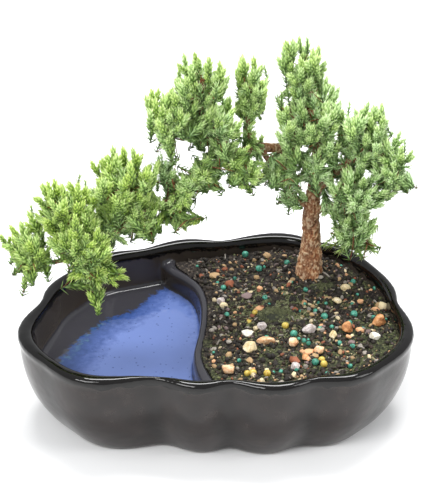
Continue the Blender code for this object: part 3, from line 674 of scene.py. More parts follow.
# %% Stone finishes
def mineral(name, dark, middle, light, speck_code, roughness=0.55):
    """Tumbled stone: blotches 3 mm across, grains 0.5 mm across and fine dark specks."""
    finish, tree, shader = new_finish(name, Roughness=roughness)
    position = add_node(tree, "ShaderNodeTexCoord").outputs["Object"]
    blotch = add_node(tree, "ShaderNodeTexNoise", {"Vector": position, "Scale": 1 / 0.0032, "Detail": 5.0,
                                                   "Roughness": 0.62, "Distortion": 0.5}).outputs["Fac"]
    body = add_node(tree, "ShaderNodeValToRGB", {"Fac": blotch},
                    stops=[(0.30, dark), (0.50, middle), (0.68, light)]).outputs["Color"]
    grains = add_node(tree, "ShaderNodeTexNoise", {"Vector": position, "Scale": 1 / 0.0006, "Detail": 2.0})
    fleck = add_node(tree, "ShaderNodeMapRange", {"Value": grains.outputs["Fac"], "From Min": 0.60,
                                                  "From Max": 0.70, "To Max": 0.75}).outputs["Result"]
    skin = add_node(tree, "ShaderNodeMix", {"Factor": fleck, "A": body, "B": speck_code}, data_type="RGBA")
    tree.links.new(skin.outputs["Result"], shader.inputs["Base Color"])
    pits = add_node(tree, "ShaderNodeBump", {"Height": blotch, "Strength": 0.5, "Distance": 0.0004})
    tree.links.new(pits.outputs["Normal"], shader.inputs["Normal"])
    return finish


STONE_FINISHES = {
    "cream_stone": mineral("tumbled_limestone", "#b39a6c", "#e3cf9f", "#f6ead0", "#8d7a55"),
    "peach_stone": mineral("tumbled_sandstone", "#b47a4e", "#e6b98c", "#f8dcbc", "#96603c"),
    "white_stone": mineral("tumbled_quartz", "#bcae98", "#ece5d4", "#fdfaf2", "#9a8d78", 0.4),
    "grey_stone": mineral("tumbled_granite", "#8a7c78", "#c0b4b0", "#eae4e2", "#5a4e4a"),
    "amber_stone": mineral("iron_stained_sandstone", "#7d4526", "#cf8f58", "#e9b888", "#5b3018"),
}

# %% Each stone from its CAD solid
STONE_KINDS = {"cream_large": "cream", "peach_long": "peach", "white_flat": "white", "pink_grey": "grey",
               "grey_large": "grey", "peach_round": "peach", "amber_upright": "amber", "cream_chip": "cream",
               "white_round": "white", "brown_rough": "amber", "tan_front": "peach", "peach_front": "peach",
               "rust_front": "amber", "lilac_front": "grey", "cream_mid": "cream", "cream_back": "cream",
               "grey_divider": "grey"}


def tumble(places, centre, seed, flats, pitting):
    """Presses a few flat faces into a round stone and pits its skin."""
    chance = random.Random(seed)
    local = places - centre
    for _ in range(flats):
        facing = np.array(Vector([chance.gauss(0, 1) for _ in range(3)]).normalized())
        reach = local @ facing
        limit = reach.max() * chance.uniform(0.62, 0.86)
        local -= np.clip(reach - limit, 0, None)[:, None] * facing * 0.85
    size = np.abs(local).max()
    bumps = [noise.fractal(Vector(p) / (size * 0.45) + Vector((seed, 0, 0)), 1.0, 2.0, 3) for p in local]
    return centre + local * (1 + pitting * np.array(bumps))[:, None]


for seed, (name, kind) in enumerate(STONE_KINDS.items()):
    stone = cad_copy("stone_" + name, name)
    modify(stone, "SUBSURF", levels=2, render_levels=2)
    low, high = (np.array(v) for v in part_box("stone_" + name))
    grown = corners(stone)
    grown = (grown - (low + high) / 2) * 1.08 + (low + high) / 2
    put_corners(stone, tumble(grown, (low + high) / 2, seed, 11, 0.06))
    slot = kind + "_stone"
    settle(stone, "pebble_" + name, STONE_FINISHES[slot], slot, "stone_" + name, smooth=34)

# %% [markdown]
# ## Grit, gravel and crumbs
# Between the stones lie hundreds of smaller bits: pea grit in tan, cream and mauve, crumbs of bark, and straws.
# Each kind is modelled once with a few faces and copied many times into one piece.  A UV map named OFBake says
# which colour a copy has: across it runs the palette, and up it the dirt.


# %% Copies of a few shapes as one mesh
def template(piece):
    """A small model's corners, triangles and map, as arrays; the model itself is removed."""
    pick(piece)
    bpy.ops.object.mode_set(mode="EDIT")
    bpy.ops.mesh.select_all(action="SELECT")
    bpy.ops.mesh.quads_convert_to_tris()
    bpy.ops.object.mode_set(mode="OBJECT")
    mesh = piece.data
    faces = np.empty(len(mesh.loops), dtype=np.int32)
    mesh.loops.foreach_get("vertex_index", faces)
    layout = np.zeros(len(mesh.loops) * 2)
    if mesh.uv_layers:
        mesh.uv_layers[0].data.foreach_get("uv", layout)
    else:
        local = corners(piece)
        spread = (local - local.min(axis=0)) / np.maximum(np.ptp(local, axis=0), 1e-9)
        layout = spread[faces][:, :2].ravel()
    found = {"corners": corners(piece), "faces": faces, "uv": layout.reshape(-1, 2)}
    bpy.data.objects.remove(piece, do_unlink=True)
    return found


def plant(name, copies):
    """One object of many copies: (template, 4x4 matrix, map corner, map size)."""
    all_corners, all_faces, all_uv, start = [], [], [], 0
    for shape, matrix, map_corner, map_size in copies:
        turn = np.array(matrix.to_3x3())
        all_corners.append(shape["corners"] @ turn.T + np.array(matrix.translation))
        all_faces.append(shape["faces"] + start)
        all_uv.append(shape["uv"] * map_size + map_corner)
        start += len(shape["corners"])
    faces = np.concatenate(all_faces).astype(np.int32)
    mesh = bpy.data.meshes.new(name)
    mesh.vertices.add(start)
    mesh.vertices.foreach_set("co", np.concatenate(all_corners).ravel())
    mesh.loops.add(len(faces))
    mesh.loops.foreach_set("vertex_index", faces)
    mesh.polygons.add(len(faces) // 3)
    mesh.polygons.foreach_set("loop_start", np.arange(0, len(faces), 3, dtype=np.int32))
    mesh.update(calc_edges=True)
    layer = mesh.uv_layers.new(name="OFBake")
    layer.data.foreach_set("uv", np.concatenate(all_uv).astype(np.float32).ravel())
    made = bpy.data.objects.new(name, mesh)
    bpy.context.collection.objects.link(made)
    return made


def turned(place, spin, size):
    """A matrix that puts a copy at a place, spun by three angles and scaled along three axes."""
    sized = Matrix.Diagonal((*size, 1.0))
    return Matrix.Translation(place) @ Matrix.Rotation(spin[2], 4, "Z") @ Matrix.Rotation(spin[1], 4, "Y") @ \
        Matrix.Rotation(spin[0], 4, "X") @ sized


# %% The grit's shapes
def grit_shape(seed, corners_wanted):
    """A small broken stone from an icosphere whose corners are pushed about."""
    deselect()
    bpy.ops.mesh.primitive_ico_sphere_add(subdivisions=corners_wanted, radius=1.0)
    made = bpy.context.object
    chance = random.Random(seed)
    for vert in made.data.vertices:
        vert.co *= chance.uniform(0.78, 1.12)
    put_corners(made, tumble(corners(made), np.zeros(3), seed, 3, 0.05))
    return template(made)


GRIT_SHAPES = [grit_shape(seed, 1) for seed in range(5)]
GRAVEL_SHAPES = [grit_shape(20 + seed, 2) for seed in range(5)]
deselect()
bpy.ops.mesh.primitive_cube_add(size=2.0)
bpy.ops.object.mode_set(mode="EDIT")
bpy.ops.transform.resize(value=(1.0, 0.16, 0.12))
bpy.ops.mesh.subdivide(number_cuts=1)
bpy.ops.object.mode_set(mode="OBJECT")
for vert in bpy.context.object.data.vertices:
    vert.co.z += 0.18 * (1 - vert.co.x ** 2)
STRAW = template(bpy.context.object)

# %% [markdown]
# ## Where the grit lies
# Grit is thickest towards the front and the right, and lies in drifts.  Places are drawn at random from a seed,
# kept if they are on the soil and clear of the trunk, and thinned by a soft noise so that drifts form.


# %% Random places on the soil
def soil_places(chance, count, margin, drift=0.0):
    """Random places on the soil, clear of the walls by a margin and gathered in drifts."""
    tries = [(chance.uniform(-0.012, 0.118), chance.uniform(-0.09, 0.09)) for _ in range(count * 6)]
    spots = np.array(tries)
    fits = (distance_inside(spots, well_edge) > margin) & (distance_inside(spots, soil_side) > margin)
    found = []
    for x, y in spots[fits]:
        if (Vector((x, y)) - FOOT).length < 0.010:
            continue
        if noise.noise(Vector((x, y, 3.0)) / 0.014) + chance.uniform(-0.5, 0.5) > drift:
            found.append((x, y))
        if len(found) == count:
            break
    return found


def on_soil(x, y, lift):
    return Vector((x, y, soil_height(x, y) + 0.0009 + crumbs(x, y) + lift))


# Palette columns of the grit, and how common each kind is; peat is the soil's own dark crumb.
GRIT_COLUMNS = {"cream": 0, "tan": 1, "peach": 2, "mauve": 3, "grey": 4, "rust": 5, "bark": 6, "straw": 7, "peat": 8,
                "moss": 9}
GRIT_WEIGHTS = {"cream": 5, "tan": 9, "peach": 5, "mauve": 6, "grey": 6, "rust": 5, "bark": 9, "straw": 8, "moss": 14}


def column_map(chance, kind):
    """Where a copy of this kind lies on the palette map, and how much of the map it takes."""
    return (GRIT_COLUMNS[kind] / 10 + 0.025, chance.uniform(0.02, 0.9)), (0.05, 0.08)


chance = random.Random(11)
kinds = [kind for kind, weight in GRIT_WEIGHTS.items() for _ in range(weight)]
copies = []
for x, y in soil_places(chance, 1700, 0.0026, -0.42):
    size = MM * chance.choice((0.45, 0.55, 0.65, 0.8, 1.0, 1.25))
    stretch = (size * chance.uniform(0.9, 1.5), size * chance.uniform(0.7, 1.0), size * chance.uniform(0.5, 0.8))
    spin = (chance.uniform(-0.6, 0.6), chance.uniform(-0.6, 0.6), chance.uniform(0, 6.3))
    copies.append((chance.choice(GRIT_SHAPES), turned(on_soil(x, y, size * 0.3), spin, stretch),
                   *column_map(chance, chance.choice(kinds))))
for x, y in soil_places(chance, 1500, 0.0026, -0.8):
    size = MM * chance.uniform(0.8, 2.5)
    stretch = (size * chance.uniform(0.8, 1.4), size * chance.uniform(0.6, 1.0), size * chance.uniform(0.5, 0.9))
    spin = [chance.uniform(0, 6.3) for _ in range(3)]
    copies.append((chance.choice(GRIT_SHAPES), turned(on_soil(x, y, size * 0.15), spin, stretch),
                   *column_map(chance, chance.choice(("peat", "peat", "peat", "bark")))))
for x, y in soil_places(chance, 230, 0.005, -0.4):
    spin = (chance.uniform(-0.5, 0.5), chance.uniform(-0.35, 0.35), chance.uniform(0, 6.3))
    size = MM * chance.uniform(1.2, 3.2)
    thick = MM * chance.uniform(2.0, 3.4)
    copies.append((STRAW, turned(on_soil(x, y, 0.0005), spin, (size, thick, thick)),
                   *column_map(chance, chance.choice(("straw", "bark", "bark", "grey")))))
grit = plant("grit", copies)

# %% Grit, one palette
grit_finish, tree, shader = new_finish("broken_grit_and_bark", Roughness=0.75)
layout = add_node(tree, "ShaderNodeUVMap", uv_map="OFBake").outputs["UV"]
split = add_node(tree, "ShaderNodeSeparateXYZ", {"Vector": layout})
palette = add_node(tree, "ShaderNodeValToRGB", {"Fac": split.outputs["X"]},
                   stops=[(0.0, "#e6d4ac"), (0.1, "#b3946c"), (0.2, "#dca87c"), (0.3, "#84706e"), (0.4, "#9c948a"),
                          (0.5, "#92553a"), (0.6, "#35291f"), (0.7, "#8e8464"), (0.8, "#1d1814"), (0.9, "#666c40")])
palette.color_ramp.interpolation = "CONSTANT"
dirt = add_node(tree, "ShaderNodeMapRange", {"Value": split.outputs["Y"], "From Min": 0.2, "From Max": 1.0,
                                             "To Max": 0.8}).outputs["Result"]
soiled = add_node(tree, "ShaderNodeMix", {"Factor": dirt, "A": palette.outputs["Color"], "B": "#2b251c"},
                  data_type="RGBA")
tree.links.new(soiled.outputs["Result"], shader.inputs["Base Color"])
settle(grit, "soil_grit", grit_finish, "potting_soil")

# %% [markdown]
# ## Small gravel
# A second, larger size of gravel fills the gaps between the named stones.  Some of its places are known from the
# real pot; the rest are drawn at random in the same drifts.

# %% The gravel
# Known small stones: (x, y) in mm, half length in mm, palette column.
KNOWN_GRAVEL = [((86, -33), 2.0, "mauve"), ((92, -19), 2.6, "peach"), ((109, 11), 3.0, "cream"), ((104, 8), 2.6, "peach"),
                ((36, 76), 2.6, "tan"), ((0, 53), 2.8, "tan"), ((6, 13), 2.6, "cream"), ((21, 23), 3.0, "mauve"),
                ((29, 8), 2.6, "peach"), ((28, 47), 2.0, "tan"), ((24, 30), 1.7, "cream"), ((30, 33), 1.8, "peach"),
                ((10, 40), 3.4, "rust"), ((49, -54), 3.4, "rust"), ((58, -44), 3.8, "peach"),
                ((62, -48), 2.4, "tan"), ((84, -26), 1.8, "peach"), ((88, -14), 1.7, "rust"), ((40, -78), 2.6, "grey"),
                ((48, -80), 2.8, "peach"), ((9, -30), 1.8, "grey"), ((9, -44), 2.0, "tan"), ((22, -52), 2.4, "tan")]
chance = random.Random(23)
copies = []
gravel_kinds = ("cream", "tan", "peach", "mauve", "grey", "rust", "tan", "grey")
spots = [(x * MM, y * MM, half * MM, kind, 0.02) for (x, y), half, kind in KNOWN_GRAVEL]
for x, y in soil_places(chance, 190, 0.004, -0.16):
    spots.append((x, y, MM * chance.uniform(1.0, 1.9), chance.choice(gravel_kinds), chance.uniform(0.05, 0.55)))
for x, y, half, kind, dirt_share in spots:
    half *= 1.22
    stretch = (half, half * chance.uniform(0.65, 0.9), half * chance.uniform(0.55, 0.8))
    spin = (chance.uniform(-0.3, 0.3), chance.uniform(-0.3, 0.3), chance.uniform(0, 6.3))
    copies.append((chance.choice(GRAVEL_SHAPES), turned(on_soil(x, y, half * 0.42), spin, stretch),
                   (GRIT_COLUMNS[kind] / 10 + 0.025, dirt_share), (0.05, 0.1)))
settle(plant("gravel", copies), "soil_gravel", grit_finish, "cream_stone", smooth=38)

# %% [markdown]
# ## Fertiliser beads
# Slow-release fertiliser is coated in a coloured resin skin.  A bead is a smooth ball, a little out of round and
# dimpled on top, about 4 mm across, with a soft shine.

# %% The resin skin
def resin(name, dark, light):
    finish, tree, shader = new_finish(name, Roughness=0.32, IOR=1.5)
    position = add_node(tree, "ShaderNodeTexCoord").outputs["Object"]
    cloud = add_node(tree, "ShaderNodeTexNoise", {"Vector": position, "Scale": 1 / 0.0021, "Detail": 3.0})
    skin = add_node(tree, "ShaderNodeValToRGB", {"Fac": cloud.outputs["Fac"]}, stops=[(0.35, dark), (0.65, light)])
    tree.links.new(skin.outputs["Color"], shader.inputs["Base Color"])
    return finish


BEAD_FINISHES = {"teal_bead": resin("teal_resin_skin", "#1d6654", "#5aae96"),
                 "yellow_bead": resin("yellow_resin_skin", "#b28c2a", "#d9c765")}


def bead(seed, centre, radius, splits=3):
    """A ball, dimpled on top and a little out of round."""
    deselect()
    bpy.ops.mesh.primitive_ico_sphere_add(subdivisions=splits, radius=radius, location=centre)
    made = bpy.context.object
    for vert in made.data.vertices:
        dimple = math.exp(-((vert.co.z - radius) ** 2 + vert.co.x ** 2) / (0.3 * radius) ** 2)
        vert.co *= 1 - 0.06 * dimple + 0.05 * noise.noise(vert.co / radius + Vector((seed, 0, 0)))
    return made


# %% The seven named beads and the loose ones
for index in range(1, 8):
    low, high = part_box(f"fertiliser_bead_{index}")
    slot = "yellow_bead" if index > 5 else "teal_bead"
    middle = Vector([(a + b) / 2 for a, b in zip(low, high)])
    settle(bead(index, middle, (high[2] - low[2]) / 2), f"resin_bead_{index}", BEAD_FINISHES[slot], slot,
           f"fertiliser_bead_{index}", smooth=180)

# Loose beads: (x, y) in mm, radius in mm; the rest are small ones drawn at random.
KNOWN_BEADS = [((30, 58), 2.4), ((67, -16), 1.7), ((65, 4), 1.6), ((6, 36), 2.0), ((92, 41), 1.8), ((106, 34), 1.6),
               ((49, 66), 2.0), ((8, 3), 1.8), ((33, 22), 1.8), ((86, -9), 2.0), ((86, -36), 1.8), ((50, -62), 2.0),
               ((56, -30), 1.8), ((78, -33), 1.8), ((60, 30), 1.7), ((102, -2), 1.7)]
chance = random.Random(5)
loose = [(x * MM, y * MM, radius * MM) for (x, y), radius in KNOWN_BEADS]
loose += [(x, y, MM * chance.uniform(0.9, 1.6)) for x, y in soil_places(chance, 34, 0.004, -0.1)]
balls = [bead(30 + i, on_soil(x, y, radius * 0.7), radius, 2) for i, (x, y, radius) in enumerate(loose)]
pick(*balls)
bpy.ops.object.join()
settle(bpy.context.object, "loose_teal_beads", BEAD_FINISHES["teal_bead"], "teal_bead", smooth=180)
GOLD = [((20, -66), 2.0), ((66, -52), 2.2), ((67, -58), 2.3), ((45, -13), 2.4), ((26, 2), 1.9), ((22, -6), 1.8)]
balls = [bead(70 + i, on_soil(x * MM, y * MM, r * MM * 0.7), r * MM, 2) for i, ((x, y), r) in enumerate(GOLD)]
pick(*balls)
bpy.ops.object.join()
settle(bpy.context.object, "loose_yellow_beads", BEAD_FINISHES["yellow_bead"], "yellow_bead", smooth=180)

# %% [markdown]
# ## Moss
# Cushion moss is a crowd of tiny upright shoots.  One tuft of five blades is modelled and copied some hundreds of
# times over each cushion, leaning outwards at its edge, with a few strays on the soil.


# %% A tuft of moss
def blade(length, width, lean, turn):
    """A thin three-sided blade that leans out from its foot."""
    deselect()
    bpy.ops.mesh.primitive_cone_add(vertices=3, radius1=width / 2, radius2=0, depth=length,
                                    location=(0, 0, length / 2))
    made = bpy.context.object
    bpy.ops.object.transform_apply(location=True)
    made.matrix_world = Matrix.Rotation(turn, 4, "Z") @ Matrix.Rotation(lean, 4, "Y")
    bpy.ops.object.transform_apply(location=True, rotation=True)
    return made


blades = [blade(1.0, 0.34, 0.62, i * 1.257 + 0.3) for i in range(5)] + [blade(1.2, 0.36, 0.1, 0.0)]
pick(*blades)
bpy.ops.object.join()
TUFT = template(bpy.context.object)


def moss_map(chance, shade):
    return (0.02 + 0.9 * min(1.0, max(0.0, shade + chance.uniform(-0.15, 0.15))), 0.05), (0.06, 0.9)


# %% The moss cushions
moss_finish, tree, shader = new_finish("cushion_moss", Roughness=0.85)
layout = add_node(tree, "ShaderNodeUVMap", uv_map="OFBake").outputs["UV"]
shade = add_node(tree, "ShaderNodeSeparateXYZ", {"Vector": layout}).outputs["X"]
green = add_node(tree, "ShaderNodeValToRGB", {"Fac": shade},
                 stops=[(0.0, "#20231a"), (0.4, "#4b5037"), (0.7, "#70744f"), (1.0, "#999c78")])
tree.links.new(green.outputs["Color"], shader.inputs["Base Color"])

for seed, node in enumerate(("moss_front", "moss_trunk")):
    chance = random.Random(40 + seed)
    low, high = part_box(node)
    middle = Vector(((low[0] + high[0]) / 2, (low[1] + high[1]) / 2))
    half = Vector(((high[0] - low[0]) / 2, (high[1] - low[1]) / 2))
    copies = []
    for _ in range(900 if seed == 0 else 420):
        angle, share = chance.uniform(0, 2 * math.pi), math.sqrt(chance.random()) * 1.12
        x, y = middle.x + half.x * share * math.cos(angle), middle.y + half.y * share * math.sin(angle)
        if noise.noise(Vector((x, y, 0)) / 0.006) < -0.25 or share > chance.uniform(0.85, 1.2):
            continue
        crown = (high[2] - low[2]) * 0.75 * max(0.0, 1 - share ** 2)
        lean = (-math.sin(angle) * share * 0.7, math.cos(angle) * share * 0.7, chance.uniform(0, 6.3))
        size = MM * chance.uniform(1.1, 1.9)
        place = Vector((x, y, soil_height(x, y) + 0.0004 + crown))
        copies.append((TUFT, turned(place, (lean[0], lean[1], lean[2]), (size, size, size)),
                       *moss_map(chance, 0.35 + 0.5 * chance.random())))
    bed = cad_copy(node, node + "_bed")
    modify(bed, "SUBSURF", levels=2, render_levels=2)
    layer = bed.data.uv_layers.new(name="OFBake")
    flat = np.array([(0.04 + 0.03 * (i % 2), 0.1 + 0.3 * (i % 3)) for i in range(len(bed.data.loops))])
    layer.data.foreach_set("uv", flat.astype(np.float32).ravel())
    made = plant(node, copies)
    pick(made, bed)
    bpy.ops.object.join()
    settle(made, "cushion_" + node, moss_finish, "moss", node)

# %% A drift of moss and dead moss stems between the cushions
chance = random.Random(60)
copies = []
for _ in range(3200):
    x, y = chance.gauss(0.038, 0.0105), chance.gauss(0.004, 0.0150)
    if noise.noise(Vector((x, y, 5.0)) / 0.007) < -0.12 or (Vector((x, y)) - FOOT).length < 0.009:
        continue
    place = on_soil(x, y, 0.0002)
    if chance.random() < 0.45:
        size = MM * chance.uniform(0.9, 1.7)
        spin = (chance.uniform(-0.4, 0.4), chance.uniform(-0.4, 0.4), chance.uniform(0, 6.3))
        copies.append((TUFT, turned(place, spin, (size, size, size)), *moss_map(chance, chance.uniform(0.45, 0.8))))
    else:
        spin = (chance.uniform(-0.5, 0.5), chance.uniform(-0.5, 0.5), chance.uniform(0, 6.3))
        size = (MM * chance.uniform(0.8, 1.9), MM * 1.5, MM * 1.5)
        copies.append((STRAW, turned(place, spin, size), *moss_map(chance, chance.uniform(0.5, 1.0))))
settle(plant("moss_drift", copies), "drift_of_moss", moss_finish, "moss")

# %% [markdown]
# ## The trunk and limbs
# Juniper bark is thin and fibrous.  It peels in long strips and flakes, grey-brown where it is old and
# orange-tan where a strip has just come away.  The CAD wood is remeshed finely, which rounds it, and then its
# skin is lifted in layered plates that are stretched along the trunk.

# %% Bark plates
wood = cad_copy("trunk", "wood")
modify(wood, "REMESH", mode="VOXEL", voxel_size=0.00062, adaptivity=0.0)
modify(wood, "SMOOTH", factor=0.5, iterations=8)
places, normals = corners(wood), corner_normals(wood)
lift, flake = np.zeros(len(places)), np.zeros(len(places))
for i, (x, y, z) in enumerate(places):
    spot = Vector((x, y, z * 0.65)) / 0.0017
    spot += 0.6 * noise.noise_vector(spot * 0.7)
    plates = noise.noise(spot) + 0.45 * noise.noise(spot * 2.2)
    flake[i] = noise.noise(Vector((x, y, z * 0.7)) / 0.00085)
    lift[i] = math.floor(plates * 3.0) / 3.0 * 0.5 + 0.35 * plates + 0.45 * flake[i]
thick = np.array([0.30 + 0.70 * math.exp(-((x - FOOT.x) ** 2 + (y - FOOT.y) ** 2) / (2 * 0.016 ** 2))
                  for x, y, z in places])
root_lobes = np.array([math.exp(-max(0.0, z - SOIL_LEVEL) / 0.008) *
                       (0.0002 + 0.0007 * math.sin(5 * math.atan2(y - FOOT.y, x - FOOT.x) + 0.8))
                       for x, y, z in places])
put_corners(wood, places + normals * (0.00105 * lift * thick + 0.0004 + root_lobes)[:, None])
write_attribute(wood, "plate", 0.5 + 0.30 * lift + 0.16 * flake)
# The limbs, and the trunk higher up, are marked for painted shade under the crown: they are mixed towards dark
# grey-brown.
up_trunk = np.clip((places[:, 2] - SOIL_LEVEL - 0.012) / 0.035, 0, 1)
write_attribute(wood, "limb", np.maximum(1 - thick, 0.38 * up_trunk))
print("wood:", len(wood.data.polygons), "faces")

# %% Peeling juniper bark
bark, tree, shader = new_finish("peeling_juniper_bark", Roughness=0.82)
position = add_node(tree, "ShaderNodeTexCoord").outputs["Object"]
plate = add_node(tree, "ShaderNodeAttribute", attribute_name="plate").outputs["Fac"]
fibre_space = add_node(tree, "ShaderNodeMapping", {"Vector": position, "Scale": (1, 1, 0.22)}).outputs["Vector"]
fibres = add_node(tree, "ShaderNodeTexNoise", {"Vector": fibre_space, "Scale": 1 / 0.0011, "Detail": 5.0,
                                               "Roughness": 0.65}).outputs["Fac"]
age = add_node(tree, "ShaderNodeTexNoise", {"Vector": position, "Scale": 1 / 0.008, "Detail": 3.0}).outputs["Fac"]
level = add_node(tree, "ShaderNodeMath", {0: fibres, 1: 0.75, 2: plate}, operation="MULTIPLY_ADD").outputs[0]
fresh = add_node(tree, "ShaderNodeValToRGB", {"Fac": level},
                 stops=[(0.36, "#34190e"), (0.60, "#82492e"), (0.86, "#ba7f55"), (1.0, "#ecc69c")]).outputs["Color"]
old = add_node(tree, "ShaderNodeValToRGB", {"Fac": level},
               stops=[(0.36, "#2a1910"), (0.60, "#6e4832"), (0.86, "#ac7f5e"), (1.0, "#e2c4a2")]).outputs["Color"]
weathered = add_node(tree, "ShaderNodeMapRange", {"Value": age, "From Min": 0.42, "From Max": 0.60}).outputs["Result"]
skin = add_node(tree, "ShaderNodeMix", {"Factor": weathered, "A": fresh, "B": old}, data_type="RGBA")
# The limbs are dark and grey-brown in the shade of the crown.
limb = add_node(tree, "ShaderNodeAttribute", attribute_name="limb").outputs["Fac"]
shaded = add_node(tree, "ShaderNodeMath", {0: limb, 1: 0.85}, operation="MULTIPLY").outputs[0]
skin = add_node(tree, "ShaderNodeMix", {"Factor": shaded, "A": skin.outputs["Result"], "B": "#35231a"}, data_type="RGBA")
tree.links.new(skin.outputs["Result"], shader.inputs["Base Color"])
bump = add_node(tree, "ShaderNodeBump", {"Height": fibres, "Strength": 0.7, "Distance": 0.0005})
tree.links.new(bump.outputs["Normal"], shader.inputs["Normal"])
settle(wood, "juniper_wood", bark, "juniper_bark", "trunk", smooth=60)

# %% [markdown]
# ## Juniper shoots
# A shoot is a stem closely set with short, awl-shaped needles in whorls of three.  Young shoots keep their
# needles pressed forward, so they look like green buds; older ones spread them like a bottle brush.  A needle is
# a three-sided cone, and a shoot is a slim core with four or five whorls of them, so each stays within a few
# dozen faces and can be copied thousands of times.


# %% One needle, one shoot
def needle(length, width, matrix, along, reach):
    """A flattened three-sided cone, with its place along the shoot written on its map."""
    deselect()
    bpy.ops.mesh.primitive_cone_add(vertices=3, radius1=width / 2, radius2=0, depth=length, end_fill_type="NOTHING",
                                    location=(0, 0, length / 2), rotation=(0, 0, math.pi))
    made = bpy.context.object
    bpy.ops.object.transform_apply(location=True, rotation=True)
    layer = made.data.uv_layers.new(name="OFBake") if not made.data.uv_layers else made.data.uv_layers[0]
    layer.name = "OFBake"
    for loop, spot in zip(made.data.loops, layer.data):
        vert = made.data.vertices[loop.vertex_index].co
        side = 0.5 + 0.5 * vert.y / (width / 2)
        spot.uv = (along + reach * vert.z / length + 0.02 * side, side)
    made.data.transform(matrix @ Matrix.Diagonal((0.7, 1.0, 1.0, 1.0)))
    return made


def shoot_model(length, whorls, needles, wide, spreads, core, tones):
    """A spindle core and its whorls; the needles shorten and close up towards the tip, and their colour runs paler
    along: partly younger needles, partly painted shade at the foot.
    """
    deselect()
    bpy.ops.mesh.primitive_ico_sphere_add(subdivisions=1, radius=1.0)
    bpy.ops.transform.resize(value=(core, core, 0.5 * length))
    bpy.ops.transform.translate(value=(0, 0, 0.44 * length))
    bpy.ops.object.transform_apply(location=True, scale=True)
    stem = bpy.context.object
    layer = stem.data.uv_layers[0] if stem.data.uv_layers else stem.data.uv_layers.new(name="OFBake")
    layer.name = "OFBake"
    for loop, spot in zip(stem.data.loops, layer.data):
        vert = stem.data.vertices[loop.vertex_index].co
        spot.uv = (0.5 * tones[0] + tones[1] * max(0.0, vert.z / length), 0.5 + 0.4 * vert.x / core)
    parts = [stem]
    for row in range(whorls):
        share = row / (whorls - 1)
        foot = (0.03 + 0.68 * share) * length
        belly = core * math.sqrt(max(0.05, 1 - ((foot / length - 0.44) / 0.5) ** 2))
        size = needles[0] + (needles[1] - needles[0]) * share
        spread = spreads[0] + (spreads[1] - spreads[0]) * share
        for third in range(3):
            turn = third * 2 * math.pi / 3 + row * 1.15
            matrix = Matrix.Rotation(turn, 4, "Z") @ Matrix.Translation((0.75 * belly, 0, foot)) @ \
                Matrix.Rotation(spread, 4, "Y")
            parts.append(needle(size, wide * (1 - 0.2 * share), matrix, tones[0] + tones[1] * share,
                                tones[2]))
    pick(*parts)
    bpy.ops.object.join()
    return template(bpy.context.object)


# Lengths in metres, spreads in radians: the bud is closed, the finger is a side bud, the brush is open and
# painted darker, partly older needles and partly painted shade inside the clump, and the spray is a long loose
# shoot.
BUD = shoot_model(0.0165, 8, (0.0037, 0.0031), 0.0021, (0.74, 0.30), 0.0013, (0.08, 0.44, 0.40))
FINGER = shoot_model(0.0120, 6, (0.0034, 0.0028), 0.0020, (0.70, 0.30), 0.0011, (0.08, 0.44, 0.40))
BRUSH = shoot_model(0.0150, 6, (0.0054, 0.0044), 0.0012, (1.00, 0.45), 0.0005, (0.05, 0.28, 0.56))
SPRAY = shoot_model(0.0220, 8, (0.0064, 0.0050), 0.0013, (0.95, 0.45), 0.0006, (0.10, 0.32, 0.66))
print("faces of a bud, finger, brush and spray:", [len(s["faces"]) // 3 for s in (BUD, FINGER, BRUSH, SPRAY)])

# %% [markdown]
# ## Growing the clumps
# Shoots grow from the end of a limb towards the light.  For each clump, tips are spread over and inside a round
# of the CAD solid's size, and each sprig points outwards, away from its limb and bent upwards.  Around its main
# bud stand two to four shorter fingers, on a stem with open needles painted darker: partly older needles, partly
# painted shade.  Hanging clumps bend down instead.

# %% How each clump grows
# Clump: (bend upwards, youth of its green, share of brushes)
HABITS = {"apex": (0.9, 0.50, 0.1), "crown": (0.8, 0.42, 0.2), "crown_left": (0.9, 0.45, 0.25),
          "crown_low": (0.3, 0.28, 0.3), "crown_back": (0.8, 0.35, 0.2), "right_upper": (0.7, 0.38, 0.15),
          "right_outer": (0.6, 0.38, 0.2), "right_lower": (0.5, 0.30, 0.2), "right_back": (0.6, 0.35, 0.2),
          "right_hanging": (0.35, 0.36, 0.35), "right_skirt": (-0.1, 0.66, 0.9), "tall_spray": (1.1, 0.60, 0.15),
          "pad_top": (0.9, 0.55, 0.1), "pad_left": (0.7, 0.58, 0.15), "pad_right": (0.7, 0.48, 0.2),
          "pad_back": (0.7, 0.45, 0.2), "under_crown": (0.3, 0.40, 0.3), "trunk_spray": (0.3, 0.30, 0.7),
          "under_limb_spray": (0.2, 0.62, 0.15), "link_spray": (0.5, 0.42, 0.45), "limb_spray": (0.2, 0.60, 0.2),
          "tuft": (-0.3, 0.75, 0.35), "cascade_top": (0.9, 0.74, 0.1), "cascade_left": (0.75, 0.80, 0.1),
          "cascade_tip": (0.5, 0.74, 0.15), "cascade_middle": (0.5, 0.76, 0.2), "cascade_back": (0.7, 0.62, 0.2),
          "cascade_right": (0.6, 0.62, 0.3), "cascade_hanging": (-0.02, 0.86, 0.15)}
# The low, sunlit clumps over the pond are the fullest.
FULLNESS = {"cascade_top": 1.5, "cascade_left": 1.8, "cascade_tip": 1.5, "cascade_middle": 1.3, "cascade_back": 1.3,
            "cascade_right": 1.1, "pad_left": 1.2, "right_outer": 1.2, "right_lower": 1.1}
SPRIG_AREA = 74e-6               # the part of a clump's round that one sprig covers, in square metres


